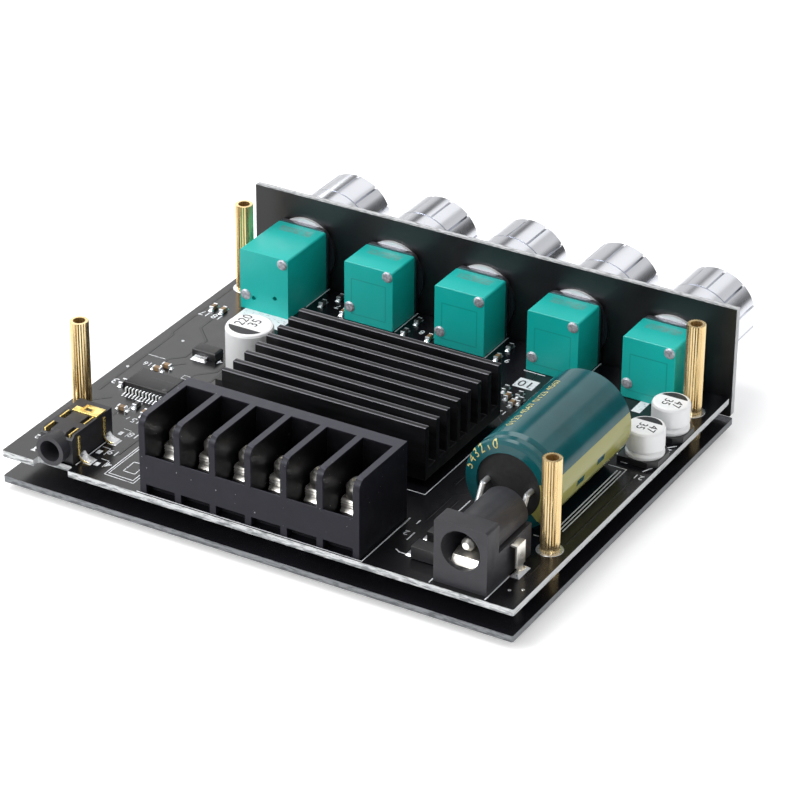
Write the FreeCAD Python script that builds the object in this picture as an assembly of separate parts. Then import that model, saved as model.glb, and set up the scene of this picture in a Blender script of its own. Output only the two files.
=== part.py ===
import FreeCAD, Part
import math
import os
from FreeCAD import Vector

# A small three-channel audio amplifier on two stacked circuit boards. Power and speaker
# terminals stand along the near edge, a finned heatsink covers the amplifier chips, and five
# controls with fluted chrome knobs stand behind an upright front panel.
#
# Every piece is drawn in the board's own frame: X from the left edge, Y from the near edge
# towards the knobs, Z from the top of the main board. The last step moves the whole object so
# that its origin is the middle of its footprint on the table. All sizes are millimetres.

# Clearances
fit_gap = 0.05
slip_gap = 0.10
lead_hole_gap = 0.10
moving_gap = 0.30
stack_hole_gap = 0.20
board_to_panel_gap = 0.30

# Circuit boards and front panel
board_thickness = 1.1
board_corner_radius = 0.3
plate_thickness = 1.1
plate_beyond_panel = 0.3
panel_thickness = 1.2
panel_height = 19.65
panel_above_board = 16.0
panel_left_inset = 0.95
panel_right_overhang = 0.25
panel_corner_radius = 0.4

# Spacers, standoffs and the screws that hold the stack together
spacer_height = 3.5
standoff_height = 16.0
standoff_radius = 1.55
standoff_flutes = 22
standoff_flute_depth = 0.14
standoff_thread_depth = 5.0
standoff_side_inset = 3.3
stack_screw_radius = 1.0
stack_screw_core_radius = 0.8
stack_screw_head_radius = 1.9
stack_screw_head_height = 1.3
stack_screw_grip = 4.0

# Six-way screw terminal block for the speakers
ways = 6
terminal_pitch = 6.35
terminal_wall = 1.15
terminal_left = 25.8
terminal_near = 0.5
terminal_depth = 14.3
terminal_height = 13.4
terminal_apron_height = 6.8
terminal_apron_thickness = 1.3
terminal_apron_edge = 0.25
terminal_apron_slope = 2.2
terminal_floor = 4.2
terminal_back_wall = 2.4
terminal_corner_radius = 1.7
terminal_foot_height = 1.6
terminal_foot_depth = 1.5
contact_thickness = 0.9
contact_side_gap = 0.4
contact_near_gap = 2.9
contact_lip = 0.6
contact_tail_width = 1.2
contact_tail_thickness = 0.8
tail_below_board = 1.3
screw_from_apron = 5.7
terminal_screw_radius = 1.45
terminal_screw_length = 5.9
terminal_head_radius = 2.35
terminal_head_height = 2.3
terminal_slot_width = 0.7
terminal_slot_depth = 1.2
clamp_width = 4.6
clamp_thickness = 1.4
clamp_teeth = 3
clamp_tooth_depth = 0.35
clamp_lift = 0.1

# Barrel power socket
jack_gap_from_terminal = 12.35
jack_right_margin = 5.1
jack_near = 1.1
jack_width = 9.0
jack_length = 13.8
jack_height = 10.8
jack_flange = 3.6
jack_axis_height = 6.5
jack_hole_radius = 3.3
jack_hole_depth = 11.0
jack_barrel_radius = 3.9
jack_step_height = 5.6
jack_step_depth = 0.35
jack_pin_radius = 1.05
jack_pin_recess = 1.6
jack_leaf_thickness = 0.35
jack_leaf_width = 4.4
jack_leaf_recess = 0.9
jack_leaf_rise = 1.75
jack_tail_width = 1.9
jack_tab_width = 2.6
jack_tab_leg_width = 1.5
jack_tab_thickness = 0.4
jack_tab_height = 5.2
jack_tab_shoulder = 1.3
jack_tab_reach = 1.2

# Headphone-size input socket
aux_centre_x = 9.25
aux_nose_radius = 2.55
aux_nose_length = 1.9
aux_hole_radius = 1.8
aux_hole_depth = 11.6
aux_body_width = 6.0
aux_body_length = 11.0
aux_body_height = 5.0
aux_contact_thickness = 0.25
aux_spring_inset = 0.7
aux_spring_length = 2.5
aux_slot_outward = 0.3
aux_slot_inward = 0.9
aux_slot_depth = 1.0
aux_tab_reach = 2.1
aux_tab_width = 1.7
aux_plate_width = 4.7
aux_plate_depth = 2.6
aux_plate_near = 7.0
aux_plate_step = 1.2
aux_notch_width = 6.6
aux_notch_depth = 1.4

# Heatsink and the chips below it
sink_gap_from_terminal = 8.9
sink_from_terminal_left = 0.25
sink_length = 37.1
sink_fins = 8
sink_fin_pitch = 3.33
sink_fin_thickness = 1.1
sink_base = 2.0
sink_top = 10.6
chip_height = 1.05
chip_width = 6.1
chip_length = 11.0
chip_inset = 6.9
pad_thickness = 0.25
sink_screw_radius = 1.25
sink_screw_inset = 3.4
sink_screw_head_height = 1.5

# Large electrolytic capacitor that lies on its side
cap_radius = 7.7
cap_length = 26.8
cap_gap_from_jack = 4.4
cap_right_margin = 11.5
cap_groove_from_end = 2.4
cap_groove_depth = 0.45
cap_bung_radius = 5.5
cap_bung_recess = 0.5
cap_bung_length = 2.5
cap_lead_spacing = 7.5
cap_lead_radius = 0.45
cap_lead_straight = 1.1
cap_lead_slope_depth = 2.0
cap_lead_slope_drop = 3.4

# Surface-mount can capacitors
tall_can_radius = 4.0
tall_can_top = 10.2
small_can_radius = 3.15
small_can_top = 5.8
small_can_right_margin = 3.4
small_can_pitch = 9.0
small_can_gap = 0.4
can_base_height = 1.0
can_base_margin = 0.15
can_base_chamfer = 1.3
can_waist_depth = 0.25

# Five controls: potentiometers, bushings, nuts, shafts and knobs
controls = 5
pot_width = 9.5
pot_height = 11.1
pot_depth = 7.3
switch_pot_depth = 12.4
pot_edge_radius = 0.35
first_pot_margin = 6.3
last_pot_margin = 6.1
shaft_height = 6.2
shaft_radius = 3.0
shaft_into_pot = 2.5
shaft_into_knob = 7.0
shaft_flat_depth = 1.0
bushing_radius = 3.5
bushing_plate = 0.8
bushing_plate_margin = 0.25
bushing_past_panel = 4.5
washer_radius = 5.9
washer_thickness = 0.6
nut_across_flats = 9.0
nut_thickness = 2.0
rivet_radius = 0.95
rivet_height = 0.25
rivet_inset_x = 1.1
rivet_inset_top = 1.0
rivet_inset_bottom = 2.7
pin_width = 0.9
pin_thickness = 0.5
pin_pitch = 2.5
knob_radius = 7.3
knob_length = 15.2
knob_panel_gap = 0.5
knob_flutes = 12
knob_flute_starts = [0.8, 0.5, 0.2, 0.9, 0.6]
knob_flute_width = 0.45
knob_flute_depth = 0.35
knob_skirt_radius = 7.4
knob_skirt_length = 8.6
knob_neck_depth = 0.4
knob_neck_width = 0.4
knob_chamfer = 0.5
knob_dish_radius = 5.6
knob_dish_depth = 0.4
knob_counterbore_radius = 5.7

# Small surface-mount parts
ssop_leads = 12
ssop_pitch = 0.65
ssop_length = 8.2
ssop_width = 5.3
ssop_height = 1.9
ssop_span = 8.1
ssop_x = 10.0
ssop_y = 28.5
regulator_x = 11.0
regulator_y = 42.7
regulator_length = 4.5
regulator_width = 2.5
regulator_height = 1.5
diode_length = 4.3
diode_width = 2.6
diode_height = 2.2
diode_gap_from_jack = 1.6
diode_near = 6.0
diode_pitch = 4.9
lead_thickness = 0.2
chip_part_length = 1.6
chip_part_width = 0.8
chip_part_height = 0.7
chip_part_cap = 0.3

# Lengths that follow from the sizes above
stack_hole_radius = stack_screw_radius + stack_hole_gap
terminal_width = ways * terminal_pitch + terminal_wall
bay_width = terminal_pitch - terminal_wall
jack_left = terminal_left + terminal_width + jack_gap_from_terminal
board_width = jack_left + jack_width + jack_right_margin
jack_centre_x = jack_left + jack_width / 2
jack_rear = jack_near + jack_length
cap_near = jack_rear + cap_gap_from_jack
cap_far = cap_near + cap_length
cap_centre_x = board_width - cap_right_margin
cap_axis_height = cap_radius + fit_gap
small_can_side = 2 * (small_can_radius + can_base_margin)
small_can_x = board_width - small_can_right_margin
small_can_y = cap_far + small_can_gap + small_can_side / 2
standoff_near_y = jack_rear + 2.7
standoff_far_y = small_can_y + small_can_pitch + small_can_side / 2 + standoff_radius + 2.95
board_depth = standoff_far_y + 7.2
panel_near = board_depth + board_to_panel_gap
panel_far = panel_near + panel_thickness
plate_depth = panel_far + plate_beyond_panel
pot_front = panel_near - washer_thickness - bushing_plate
pot_pitch = (board_width - first_pot_margin - last_pot_margin - pot_width) / (controls - 1)
knob_near = panel_far + knob_panel_gap
knob_far = knob_near + knob_length
bushing_far = panel_far + bushing_past_panel
knob_bore_start = bushing_far + knob_panel_gap
plate_top = -board_thickness - spacer_height
plate_bottom = plate_top - plate_thickness
table = plate_bottom - stack_screw_head_height
sink_near = terminal_near + terminal_depth + sink_gap_from_terminal
sink_left = terminal_left + sink_from_terminal_left
sink_depth = (sink_fins - 1) * sink_fin_pitch + sink_fin_thickness
sink_bottom = chip_height + pad_thickness
sink_middle_y = sink_near + sink_depth / 2
tall_can_side = 2 * (tall_can_radius + can_base_margin)
tall_can_x = sink_left - 0.5 - tall_can_side / 2
tall_can_y = sink_middle_y + 3.5
contact_top = terminal_floor + contact_thickness
clamp_bottom = contact_top + clamp_lift
head_bottom = clamp_bottom + clamp_thickness
screw_y = terminal_near + screw_from_apron + terminal_apron_thickness
aux_nose_near = 0.0
aux_body_near = aux_nose_near + aux_nose_length

standoff_places = [
    (standoff_side_inset, standoff_near_y),
    (board_width - standoff_side_inset, standoff_near_y),
    (standoff_side_inset, standoff_far_y),
    (board_width - standoff_side_inset, standoff_far_y),
]

# The origin of the finished object: the middle of the footprint, on the table.
left_most = min(0.0, panel_left_inset)
right_most = board_width + max(0.0, panel_right_overhang)
origin = Vector((left_most + right_most) / 2, (aux_nose_near + knob_far) / 2, table)


def box(x, y, z, width, depth, height):
    return Part.makeBox(width, depth, height, Vector(x, y, z))


def post(x, y, z, radius, height):
    return Part.makeCylinder(radius, height, Vector(x, y, z), Vector(0, 0, 1))


def rod(x, y, z, radius, length):
    return Part.makeCylinder(radius, length, Vector(x, y, z), Vector(0, 1, 0))


def join(shapes):
    if len(shapes) == 1:
        return shapes[0]
    return shapes[0].multiFuse(shapes[1:]).removeSplitter()


def turned(points, base, axis, rest_direction):
    """A turned solid: points are (radius, distance along axis) from base."""
    corners = [base + rest_direction * r + axis * d for r, d in points]
    outline = Part.makePolygon(corners + [corners[0]])
    return Part.Face(outline).revolve(base, axis, 360)


def prism(corners, direction):
    outline = Part.makePolygon(corners + [corners[0]])
    return Part.Face(outline).extrude(direction)


def round_edges(shape, radius, along, keep=None):
    """Rounds the straight edges of a shape that run along one axis."""
    chosen = []
    for edge in shape.Edges:
        if len(edge.Vertexes) != 2:
            continue
        run = edge.Vertexes[1].Point - edge.Vertexes[0].Point
        if run.Length < 1e-6 or abs(abs(run.normalize().dot(along)) - 1) > 1e-6:
            continue
        if keep is None or keep(edge.CenterOfMass):
            chosen.append(edge)
    return shape.makeFillet(radius, chosen)


X = Vector(1, 0, 0)
Y = Vector(0, 1, 0)
Z = Vector(0, 0, 1)


def write(name, shapes):
    """Writes one sub-part. Several solids stay separate in one file."""
    if not isinstance(shapes, list):
        shapes = [shapes]
    solids = [solid for shape in shapes for solid in shape.Solids]
    whole = Part.makeCompound(solids) if len(solids) > 1 else solids[0]
    whole.translate(-origin)
    whole.exportStep(os.path.join("parts", name + ".step"))


# Leads that pass through the main board: (x, y, radius of the hole)
lead_holes = []


def drill(x, y, radius):
    lead_holes.append((x, y, radius + lead_hole_gap))


def screw(base, axis, side, head_radius, head_height, shank_radius, length, slot, slot_depth):
    """A pan-head screw. base is the middle of the head's top; axis points down the shank."""
    crown = head_height * 0.3
    profile = [
        (0, 0),
        (head_radius * 0.75, 0),
        (head_radius, crown),
        (head_radius, head_height),
        (shank_radius, head_height),
        (shank_radius, head_height + length - 0.3),
        (shank_radius - 0.3, head_height + length),
        (0, head_height + length),
    ]
    body = turned(profile, base, axis, side)
    across = axis.cross(side)
    reach = head_radius * 0.68
    for direction, other in ((side, across), (across, side)):
        start = base - direction * reach - other * (slot / 2)
        corners = [
            start,
            start + direction * 2 * reach,
            start + direction * 2 * reach + other * slot,
            start + other * slot,
        ]
        body = body.cut(prism(corners, axis * slot_depth))
    return body


# Stack hardware

def fluted_outline(x, y, z):
    corners = []
    for index in range(2 * standoff_flutes):
        angle = math.pi * index / standoff_flutes
        radius = standoff_radius - standoff_flute_depth * (index % 2)
        corners.append(Vector(x + radius * math.cos(angle), y + radius * math.sin(angle), z))
    return corners


def make_standoff(x, y):
    """The lower thread is drawn at its core, the free upper one at its nominal radius."""
    body = prism(fluted_outline(x, y, 0), Z * standoff_height)
    body = body.cut(post(x, y, 0, stack_screw_core_radius, standoff_thread_depth))
    top_hole = post(x, y, standoff_height - standoff_thread_depth, stack_screw_radius,
                    standoff_thread_depth)
    return body.cut(top_hole)


def make_spacer(x, y):
    outer = post(x, y, plate_top, standoff_radius, spacer_height)
    return outer.cut(post(x, y, plate_top, stack_hole_radius, spacer_height))


def make_stack_screw(x, y):
    length = plate_thickness + spacer_height + board_thickness + stack_screw_grip
    return screw(Vector(x, y, table), Z, X, stack_screw_head_radius, stack_screw_head_height,
                 stack_screw_core_radius - fit_gap, length, 0.5, 0.7)


write_later = {}
write_later["standoffs"] = [make_standoff(x, y) for x, y in standoff_places]
write_later["spacers"] = [make_spacer(x, y) for x, y in standoff_places]
write_later["stack_screws"] = [make_stack_screw(x, y) for x, y in standoff_places]


# Screw terminal block

def bay_left(index):
    return terminal_left + terminal_wall + index * terminal_pitch


def bay_middle(index):
    return bay_left(index) + bay_width / 2


def make_terminal_block():
    near = terminal_near
    far = terminal_near + terminal_depth
    apron_far = near + terminal_apron_thickness
    back_near = far - terminal_back_wall
    # The side view of a divider: rounded where it meets the near edge.
    r = terminal_corner_radius
    middle = Vector(terminal_left, near + r * (1 - math.sqrt(0.5)),
                    terminal_height - r * (1 - math.sqrt(0.5)))
    start = Vector(terminal_left, near, terminal_height - r)
    end = Vector(terminal_left, near + r, terminal_height)
    corner = Part.Arc(start, middle, end).toShape()
    rest = Part.makePolygon([
        end,
        Vector(terminal_left, far, terminal_height),
        Vector(terminal_left, far, 0),
        Vector(terminal_left, near, 0),
        start,
    ])
    block = Part.Face(Part.Wire([corner] + rest.Edges)).extrude(X * terminal_width)
    cuts = []
    for index in range(ways):
        left = bay_left(index)
        cuts.append(box(left, apron_far, terminal_floor, bay_width, back_near - apron_far,
                        terminal_height))
        cuts.append(box(left, near - 1, terminal_apron_height, bay_width,
                        back_near - near + 1, terminal_height))
        cuts.append(prism([
            Vector(left, near + terminal_apron_edge, terminal_apron_height + 0.01),
            Vector(left, apron_far + 0.01, terminal_apron_height + 0.01),
            Vector(left, apron_far + 0.01, terminal_apron_height - terminal_apron_slope),
        ], X * bay_width))
        cuts.append(box(left, near - 1, 0, bay_width, 1 + terminal_foot_depth,
                        terminal_foot_height))
        cuts.append(post(bay_middle(index), screw_y, 0, terminal_screw_radius + moving_gap,
                         terminal_floor))
        cuts.append(box(bay_middle(index) - contact_tail_width / 2 - slip_gap,
                        tail_y() - slip_gap, 0, contact_tail_width + 2 * slip_gap,
                        contact_tail_thickness + 2 * slip_gap, terminal_floor))
    return block.cut(cuts)


def tail_y():
    return terminal_near + terminal_depth - terminal_back_wall - 0.3 - contact_tail_thickness


def make_contact(index):
    middle = bay_middle(index)
    width = bay_width - 2 * contact_side_gap
    near = terminal_near + terminal_apron_thickness + contact_near_gap
    far = tail_y() + contact_tail_thickness
    plate = box(middle - width / 2, near, terminal_floor, width, far - near, contact_thickness)
    near_edges = [
        edge for edge in plate.Edges
        if abs(edge.CenterOfMass.y - near) < 1e-6 and abs(edge.CenterOfMass.z - contact_top) < 1e-6
    ]
    plate = plate.makeChamfer(contact_lip, near_edges)
    tail_bottom = -board_thickness - tail_below_board
    tail = box(middle - contact_tail_width / 2, tail_y(), tail_bottom, contact_tail_width,
               contact_tail_thickness, terminal_floor - tail_bottom)
    hole = post(middle, screw_y, 0, terminal_screw_radius + fit_gap, 2 * terminal_floor)
    reach = math.hypot(contact_tail_width, contact_tail_thickness) / 2
    drill(middle, tail_y() + contact_tail_thickness / 2, reach)
    return join([plate, tail]).cut(hole)


def make_clamp(index):
    """A square plate on the screw, with slanting teeth across its near edge."""
    middle = bay_middle(index)
    left = middle - clamp_width / 2
    near = screw_y - clamp_width / 2
    tooth = clamp_thickness / clamp_teeth
    corners = [Vector(left, near + clamp_width, clamp_bottom)]
    for step in range(clamp_teeth):
        level = clamp_bottom + step * tooth
        corners.append(Vector(left, near, level))
        corners.append(Vector(left, near + clamp_tooth_depth, level + 0.8 * tooth))
    corners.append(Vector(left, near + clamp_tooth_depth, head_bottom))
    corners.append(Vector(left, near + clamp_width, head_bottom))
    body = prism(corners, X * clamp_width)
    return body.cut(post(middle, screw_y, 0, terminal_screw_radius + slip_gap, head_bottom))


def make_terminal_screw(index):
    top = Vector(bay_middle(index), screw_y, head_bottom + terminal_head_height)
    return screw(top, -Z, X, terminal_head_radius, terminal_head_height,
                 terminal_screw_radius, terminal_screw_length, terminal_slot_width,
                 terminal_slot_depth)


write_later["terminal_block"] = make_terminal_block()
write_later["terminal_contacts"] = [make_contact(index) for index in range(ways)]
for way in range(ways):
    write_later["terminal_clamp_%d" % (way + 1)] = make_clamp(way)
    write_later["terminal_screw_%d" % (way + 1)] = make_terminal_screw(way)


# Barrel power socket

def make_jack_housing():
    flange = box(jack_left, jack_near, 0, jack_width, jack_flange, jack_height)
    flange = round_edges(flange, 0.5, Y, lambda p: p.z > jack_height / 2)
    lower = box(jack_left, jack_near + jack_flange, 0, jack_width,
                jack_length - jack_flange, jack_step_height)
    upper_half = jack_barrel_radius - jack_step_depth
    middle = box(jack_centre_x - upper_half, jack_near + jack_flange, jack_step_height - 0.1,
                 2 * upper_half, jack_length - jack_flange,
                 jack_axis_height - jack_step_height + 0.1)
    barrel = rod(jack_centre_x, jack_near + jack_flange / 2, jack_axis_height,
                 jack_barrel_radius, jack_length - jack_flange / 2)
    barrel = barrel.cut(box(jack_left - 1, 0, -1, jack_width + 2, 2 * jack_length,
                            jack_step_height + 1 + jack_step_depth))
    body = join([flange, lower, middle, barrel])
    hole = rod(jack_centre_x, jack_near - 1, jack_axis_height, jack_hole_radius,
               jack_hole_depth + 1)
    pin_hole = rod(jack_centre_x, jack_near, jack_axis_height, jack_pin_radius, jack_length)
    slot = box(jack_centre_x - jack_leaf_width / 2 - slip_gap,
               jack_near + jack_leaf_recess - slip_gap, leaf_bottom() - slip_gap,
               jack_leaf_width + 2 * slip_gap, jack_length, jack_leaf_thickness + 2 * slip_gap)
    # Above the slot the hole is narrower than the leaf, so its near part is cut wider.
    half = jack_leaf_width / 2 + slip_gap
    level = jack_axis_height - math.sqrt(jack_hole_radius ** 2 - half ** 2)
    room = box(jack_centre_x - half, jack_near + jack_leaf_recess - slip_gap, leaf_bottom(),
               2 * half, jack_hole_depth - jack_leaf_recess, level - leaf_bottom())
    return body.cut([hole, pin_hole, slot, room])


def leaf_bottom():
    return jack_axis_height - jack_hole_radius + 0.1


def make_jack_pin():
    length = jack_length - jack_pin_recess + 0.8
    tip = jack_pin_radius * 0.6
    profile = [
        (0, 0),
        (jack_pin_radius * 0.55, 0),
        (jack_pin_radius, tip),
        (jack_pin_radius, length - 0.5),
        (jack_pin_radius, length),
        (0, length),
    ]
    base = Vector(jack_centre_x, jack_near + jack_pin_recess, jack_axis_height)
    return turned(profile, base, Y, X)


def make_jack_contacts():
    # A sprung leaf rises steeply from the floor of the hole to just below the pin, comes down
    # again, leaves the housing at the rear and turns down into the board.
    rear = jack_rear + slip_gap
    below = -board_thickness - tail_below_board
    t = jack_leaf_thickness
    crest = jack_leaf_rise
    profile = [
        (0, 0),
        (0.8, crest - 0.5),
        (2.6, crest),
        (7.5, t),
        (rear + jack_tab_thickness - jack_near - jack_leaf_recess, t),
        (rear + jack_tab_thickness - jack_near - jack_leaf_recess, 0),
        (7.2, 0),
        (2.6, crest - t),
        (1.1, crest - 0.5 - t),
        (t, 0),
    ]
    start = Vector(jack_centre_x - jack_leaf_width / 2, jack_near + jack_leaf_recess,
                   leaf_bottom())
    leaf = prism([start + Y * y + Z * z for y, z in profile], X * jack_leaf_width)
    drop = box(jack_centre_x - jack_tail_width / 2, rear, below, jack_tail_width,
               jack_tab_thickness, leaf_bottom() - below + t)
    drill(jack_centre_x, rear + jack_tab_thickness / 2, jack_tail_width / 2)
    # The switched contact comes out of the side of the housing, folds down and narrows to a
    # leg that goes through the board.
    side_x = jack_left + jack_width
    side_y = jack_near + 7.2
    fold = box(side_x, side_y, jack_tab_height - jack_tab_thickness, jack_tab_reach,
               jack_tab_width, jack_tab_thickness)
    outer_x = side_x + jack_tab_reach - jack_tab_thickness
    broad = box(outer_x, side_y, jack_tab_shoulder, jack_tab_thickness, jack_tab_width,
                jack_tab_height - jack_tab_shoulder)
    leg_y = side_y + (jack_tab_width - jack_tab_leg_width) / 2
    leg = box(outer_x, leg_y, below, jack_tab_thickness, jack_tab_leg_width,
              jack_tab_shoulder - below)
    drill(outer_x + jack_tab_thickness / 2, leg_y + jack_tab_leg_width / 2,
          jack_tab_leg_width / 2)
    return [join([leaf, drop]), join([fold, broad, leg])]


write_later["power_socket_housing"] = make_jack_housing()
write_later["power_socket_pin"] = make_jack_pin()
write_later["power_socket_contacts"] = make_jack_contacts()


# Headphone-size input socket

def make_aux_housing():
    nose = rod(aux_centre_x, aux_nose_near, aux_nose_radius, aux_nose_radius,
               aux_nose_length + 1.0)
    left = aux_centre_x - aux_body_width / 2
    body = box(left, aux_body_near, 0, aux_body_width, aux_body_length, aux_body_height)
    shoulder = aux_nose_radius * 0.5
    body = body.makeChamfer(shoulder * 0.6, [
        edge for edge in body.Edges
        if abs(edge.CenterOfMass.y - aux_body_near) < 1e-6
        and abs(edge.CenterOfMass.z - aux_body_height) < 1e-6
    ])
    hole = rod(aux_centre_x, aux_nose_near - 1, aux_nose_radius, aux_hole_radius,
               aux_hole_depth + 1)
    return join([nose, body]).cut([hole] + make_aux_spring_slots())


aux_spring_y = [aux_body_near + 0.3, aux_body_near + 4.4]
aux_tab_y = [aux_body_near + 1.4, aux_body_near + 8.4]


def aux_wall(side):
    return aux_centre_x + side * aux_body_width / 2


def make_aux_spring_slots():
    """Two slots along each top edge show the springs inside."""
    slots = []
    for side in (-1, 1):
        middle = aux_wall(side) - side * aux_spring_inset
        left = min(middle + side * aux_slot_outward, middle - side * aux_slot_inward)
        for y in aux_spring_y:
            slots.append(box(left, y, aux_body_height - aux_slot_depth,
                             aux_slot_outward + aux_slot_inward, aux_spring_length, 3))
    return slots


def make_aux_springs():
    springs = []
    for side in (-1, 1):
        middle = aux_wall(side) - side * aux_spring_inset
        for y in aux_spring_y:
            springs.append(box(middle - aux_contact_thickness / 2, y,
                               aux_body_height - aux_slot_depth, aux_contact_thickness,
                               aux_spring_length, aux_slot_depth + 0.1))
    return springs


def make_aux_tab(side, y):
    """A contact that runs down the wall and curves out onto the board."""
    wall = aux_wall(side)
    t = aux_contact_thickness
    upright = box(min(wall, wall + side * t), y, 1.0, t, 0.5, aux_body_height - 1.6)
    profile = [
        (0, 1.2),
        (t, 1.2),
        (0.6, 0.7),
        (1.2, 0.4),
        (aux_tab_reach, t),
        (aux_tab_reach, 0),
        (1.0, 0),
        (0.4, 0.3),
        (0, 0.8),
    ]
    foot = prism([Vector(wall + side * out, y, z) for out, z in profile], Y * aux_tab_width)
    return join([upright, foot])


def make_aux_top_plate():
    right = aux_wall(1) - slip_gap
    left = right - aux_plate_width
    near = aux_body_near + aux_plate_near
    far = near + aux_plate_depth
    outline = [
        Vector(left, near, aux_body_height),
        Vector(right, near, aux_body_height),
        Vector(right, far, aux_body_height),
        Vector(left + aux_plate_step, far, aux_body_height),
        Vector(left + aux_plate_step, far - aux_plate_step, aux_body_height),
        Vector(left, far - aux_plate_step, aux_body_height),
    ]
    plate = prism(outline, Z * aux_contact_thickness)
    window = aux_plate_width / 4
    return plate.cut(box(left + aux_plate_width / 2 - window / 2, near + aux_plate_depth / 3,
                         aux_body_height - 1, window, aux_plate_depth / 3, 3))


write_later["input_socket_housing"] = make_aux_housing()
write_later["input_socket_contacts"] = make_aux_springs() + [
    make_aux_tab(side, y) for side in (-1, 1) for y in aux_tab_y
] + [make_aux_top_plate()]


# Heatsink and amplifier chips

chip_places = [sink_left + chip_inset + chip_width / 2,
               sink_left + sink_length - chip_inset - chip_width / 2]
sink_screw_places = [sink_left + sink_screw_inset, sink_left + sink_length - sink_screw_inset]


def make_heatsink():
    base = box(sink_left, sink_near, sink_bottom, sink_length, sink_depth, sink_base)
    fins = [
        box(sink_left, sink_near + index * sink_fin_pitch, sink_bottom, sink_length,
            sink_fin_thickness, sink_top - sink_bottom)
        for index in range(sink_fins)
    ]
    holes = [
        post(x, sink_middle_y, sink_bottom, sink_screw_radius + fit_gap, sink_base - 0.3)
        for x in sink_screw_places
    ]
    return join([base] + fins).cut(holes)


def make_sink_screw(x):
    head_top = -board_thickness - sink_screw_head_height
    length = board_thickness + sink_bottom + sink_base - 0.7
    return screw(Vector(x, sink_middle_y, head_top), Z, X, sink_screw_radius * 1.8,
                 sink_screw_head_height, sink_screw_radius, length, 0.5, 0.7)


def gull_wing(x, y, side_axis, out, width, reach, height):
    """One bent lead: out of the body, down, and flat on the board. out is the direction."""
    t = lead_thickness
    half = side_axis * (width / 2)
    knee = reach * 0.45
    start = Vector(x, y, 0) - half
    profile = [
        (0, height),
        (knee, height),
        (knee, t),
        (reach, t),
        (reach, 0),
        (knee - t, 0),
        (knee - t, height - t),
        (0, height - t),
    ]
    corners = [start + out * d + Z * h for d, h in profile]
    return prism(corners, side_axis * width)


def make_amp_chip(x):
    body = box(x - chip_width / 2, sink_middle_y - chip_length / 2, 0, chip_width, chip_length,
               chip_height)
    pieces = [body]
    count = 16
    pitch = 0.65
    for side in (-1, 1):
        for index in range(count):
            y = sink_middle_y + (index - (count - 1) / 2) * pitch
            pieces.append(gull_wing(x + side * chip_width / 2, y, Y, X * side, 0.25, 1.0,
                                    chip_height / 2))
    return join(pieces)


def make_pad(x):
    width = chip_width - 0.8
    length = chip_length - 0.8
    return box(x - width / 2, sink_middle_y - length / 2, chip_height, width, length,
               pad_thickness)


write_later["heatsink"] = make_heatsink()
write_later["heatsink_screws"] = [make_sink_screw(x) for x in sink_screw_places]
write_later["amplifier_chips"] = [make_amp_chip(x) for x in chip_places]
write_later["thermal_pads"] = [make_pad(x) for x in chip_places]


# Large capacitor

def make_cap_can():
    groove = cap_groove_from_end
    r = cap_radius
    profile = [
        (0, 0),
        (r - 0.8, 0),
        (r - 0.2, 0.25),
        (r, 0.8),
        (r, groove - 0.6),
        (r - cap_groove_depth, groove),
        (r, groove + 0.7),
        (r, cap_length - 0.9),
        (r - 0.9, cap_length),
        (0, cap_length),
    ]
    base = Vector(cap_centre_x, cap_near, cap_axis_height)
    can = turned(profile, base, Y, X)
    pocket = rod(cap_centre_x, cap_near, cap_axis_height, cap_bung_radius,
                 cap_bung_recess + cap_bung_length)
    return can.cut(pocket)


def make_cap_bung():
    holes = [
        rod(x, cap_near, cap_axis_height, cap_lead_radius, 2 * cap_bung_length)
        for x in cap_lead_xs()
    ]
    disc = rod(cap_centre_x, cap_near + cap_bung_recess, cap_axis_height, cap_bung_radius,
               cap_bung_length)
    return disc.cut(holes)


def cap_lead_xs():
    return (cap_centre_x - cap_lead_spacing / 2, cap_centre_x + cap_lead_spacing / 2)


def make_cap_lead(x):
    """A lead leaves the bung level, slopes down and passes straight through the board."""
    bottom = -board_thickness - tail_below_board
    start = Vector(x, cap_near + cap_bung_recess + 1.5, cap_axis_height)
    knee = Vector(x, cap_near - cap_lead_straight, cap_axis_height)
    ankle = knee - Vector(0, cap_lead_slope_depth, cap_lead_slope_drop)
    end = Vector(x, ankle.y, bottom)
    path = Part.makePolygon([start, knee, ankle, end])
    section = Part.Wire([Part.makeCircle(cap_lead_radius, start, Y)])
    drill(x, ankle.y, cap_lead_radius)
    sweep = Part.BRepOffsetAPI.MakePipeShell(path)
    sweep.setTransitionMode(2)
    sweep.add(section)
    sweep.build()
    sweep.makeSolid()
    return sweep.shape()


write_later["main_capacitor"] = make_cap_can()
write_later["main_capacitor_bung"] = make_cap_bung()
write_later["main_capacitor_leads"] = [make_cap_lead(x) for x in cap_lead_xs()]


# Can capacitors on their black bases

def make_can(x, y, radius, top):
    bottom = can_base_height
    neck = radius - can_waist_depth
    profile = [
        (0, 0),
        (radius, 0),
        (radius, 0.5),
        (neck, 0.9),
        (radius, 1.4),
        (radius, top - bottom - 0.5),
        (radius - 0.15, top - bottom - 0.15),
        (radius - 0.5, top - bottom),
        (0, top - bottom),
    ]
    return turned(profile, Vector(x, y, bottom), Z, X)


def make_can_base(x, y, radius):
    side = 2 * (radius + can_base_margin)
    body = box(x - side / 2, y - side / 2, 0, side, side, can_base_height)
    marked = [
        edge for edge in body.Edges
        if abs(edge.CenterOfMass.z - can_base_height / 2) < 1e-6
        and edge.CenterOfMass.x > x
    ]
    return body.makeChamfer(can_base_chamfer, marked)


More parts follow.
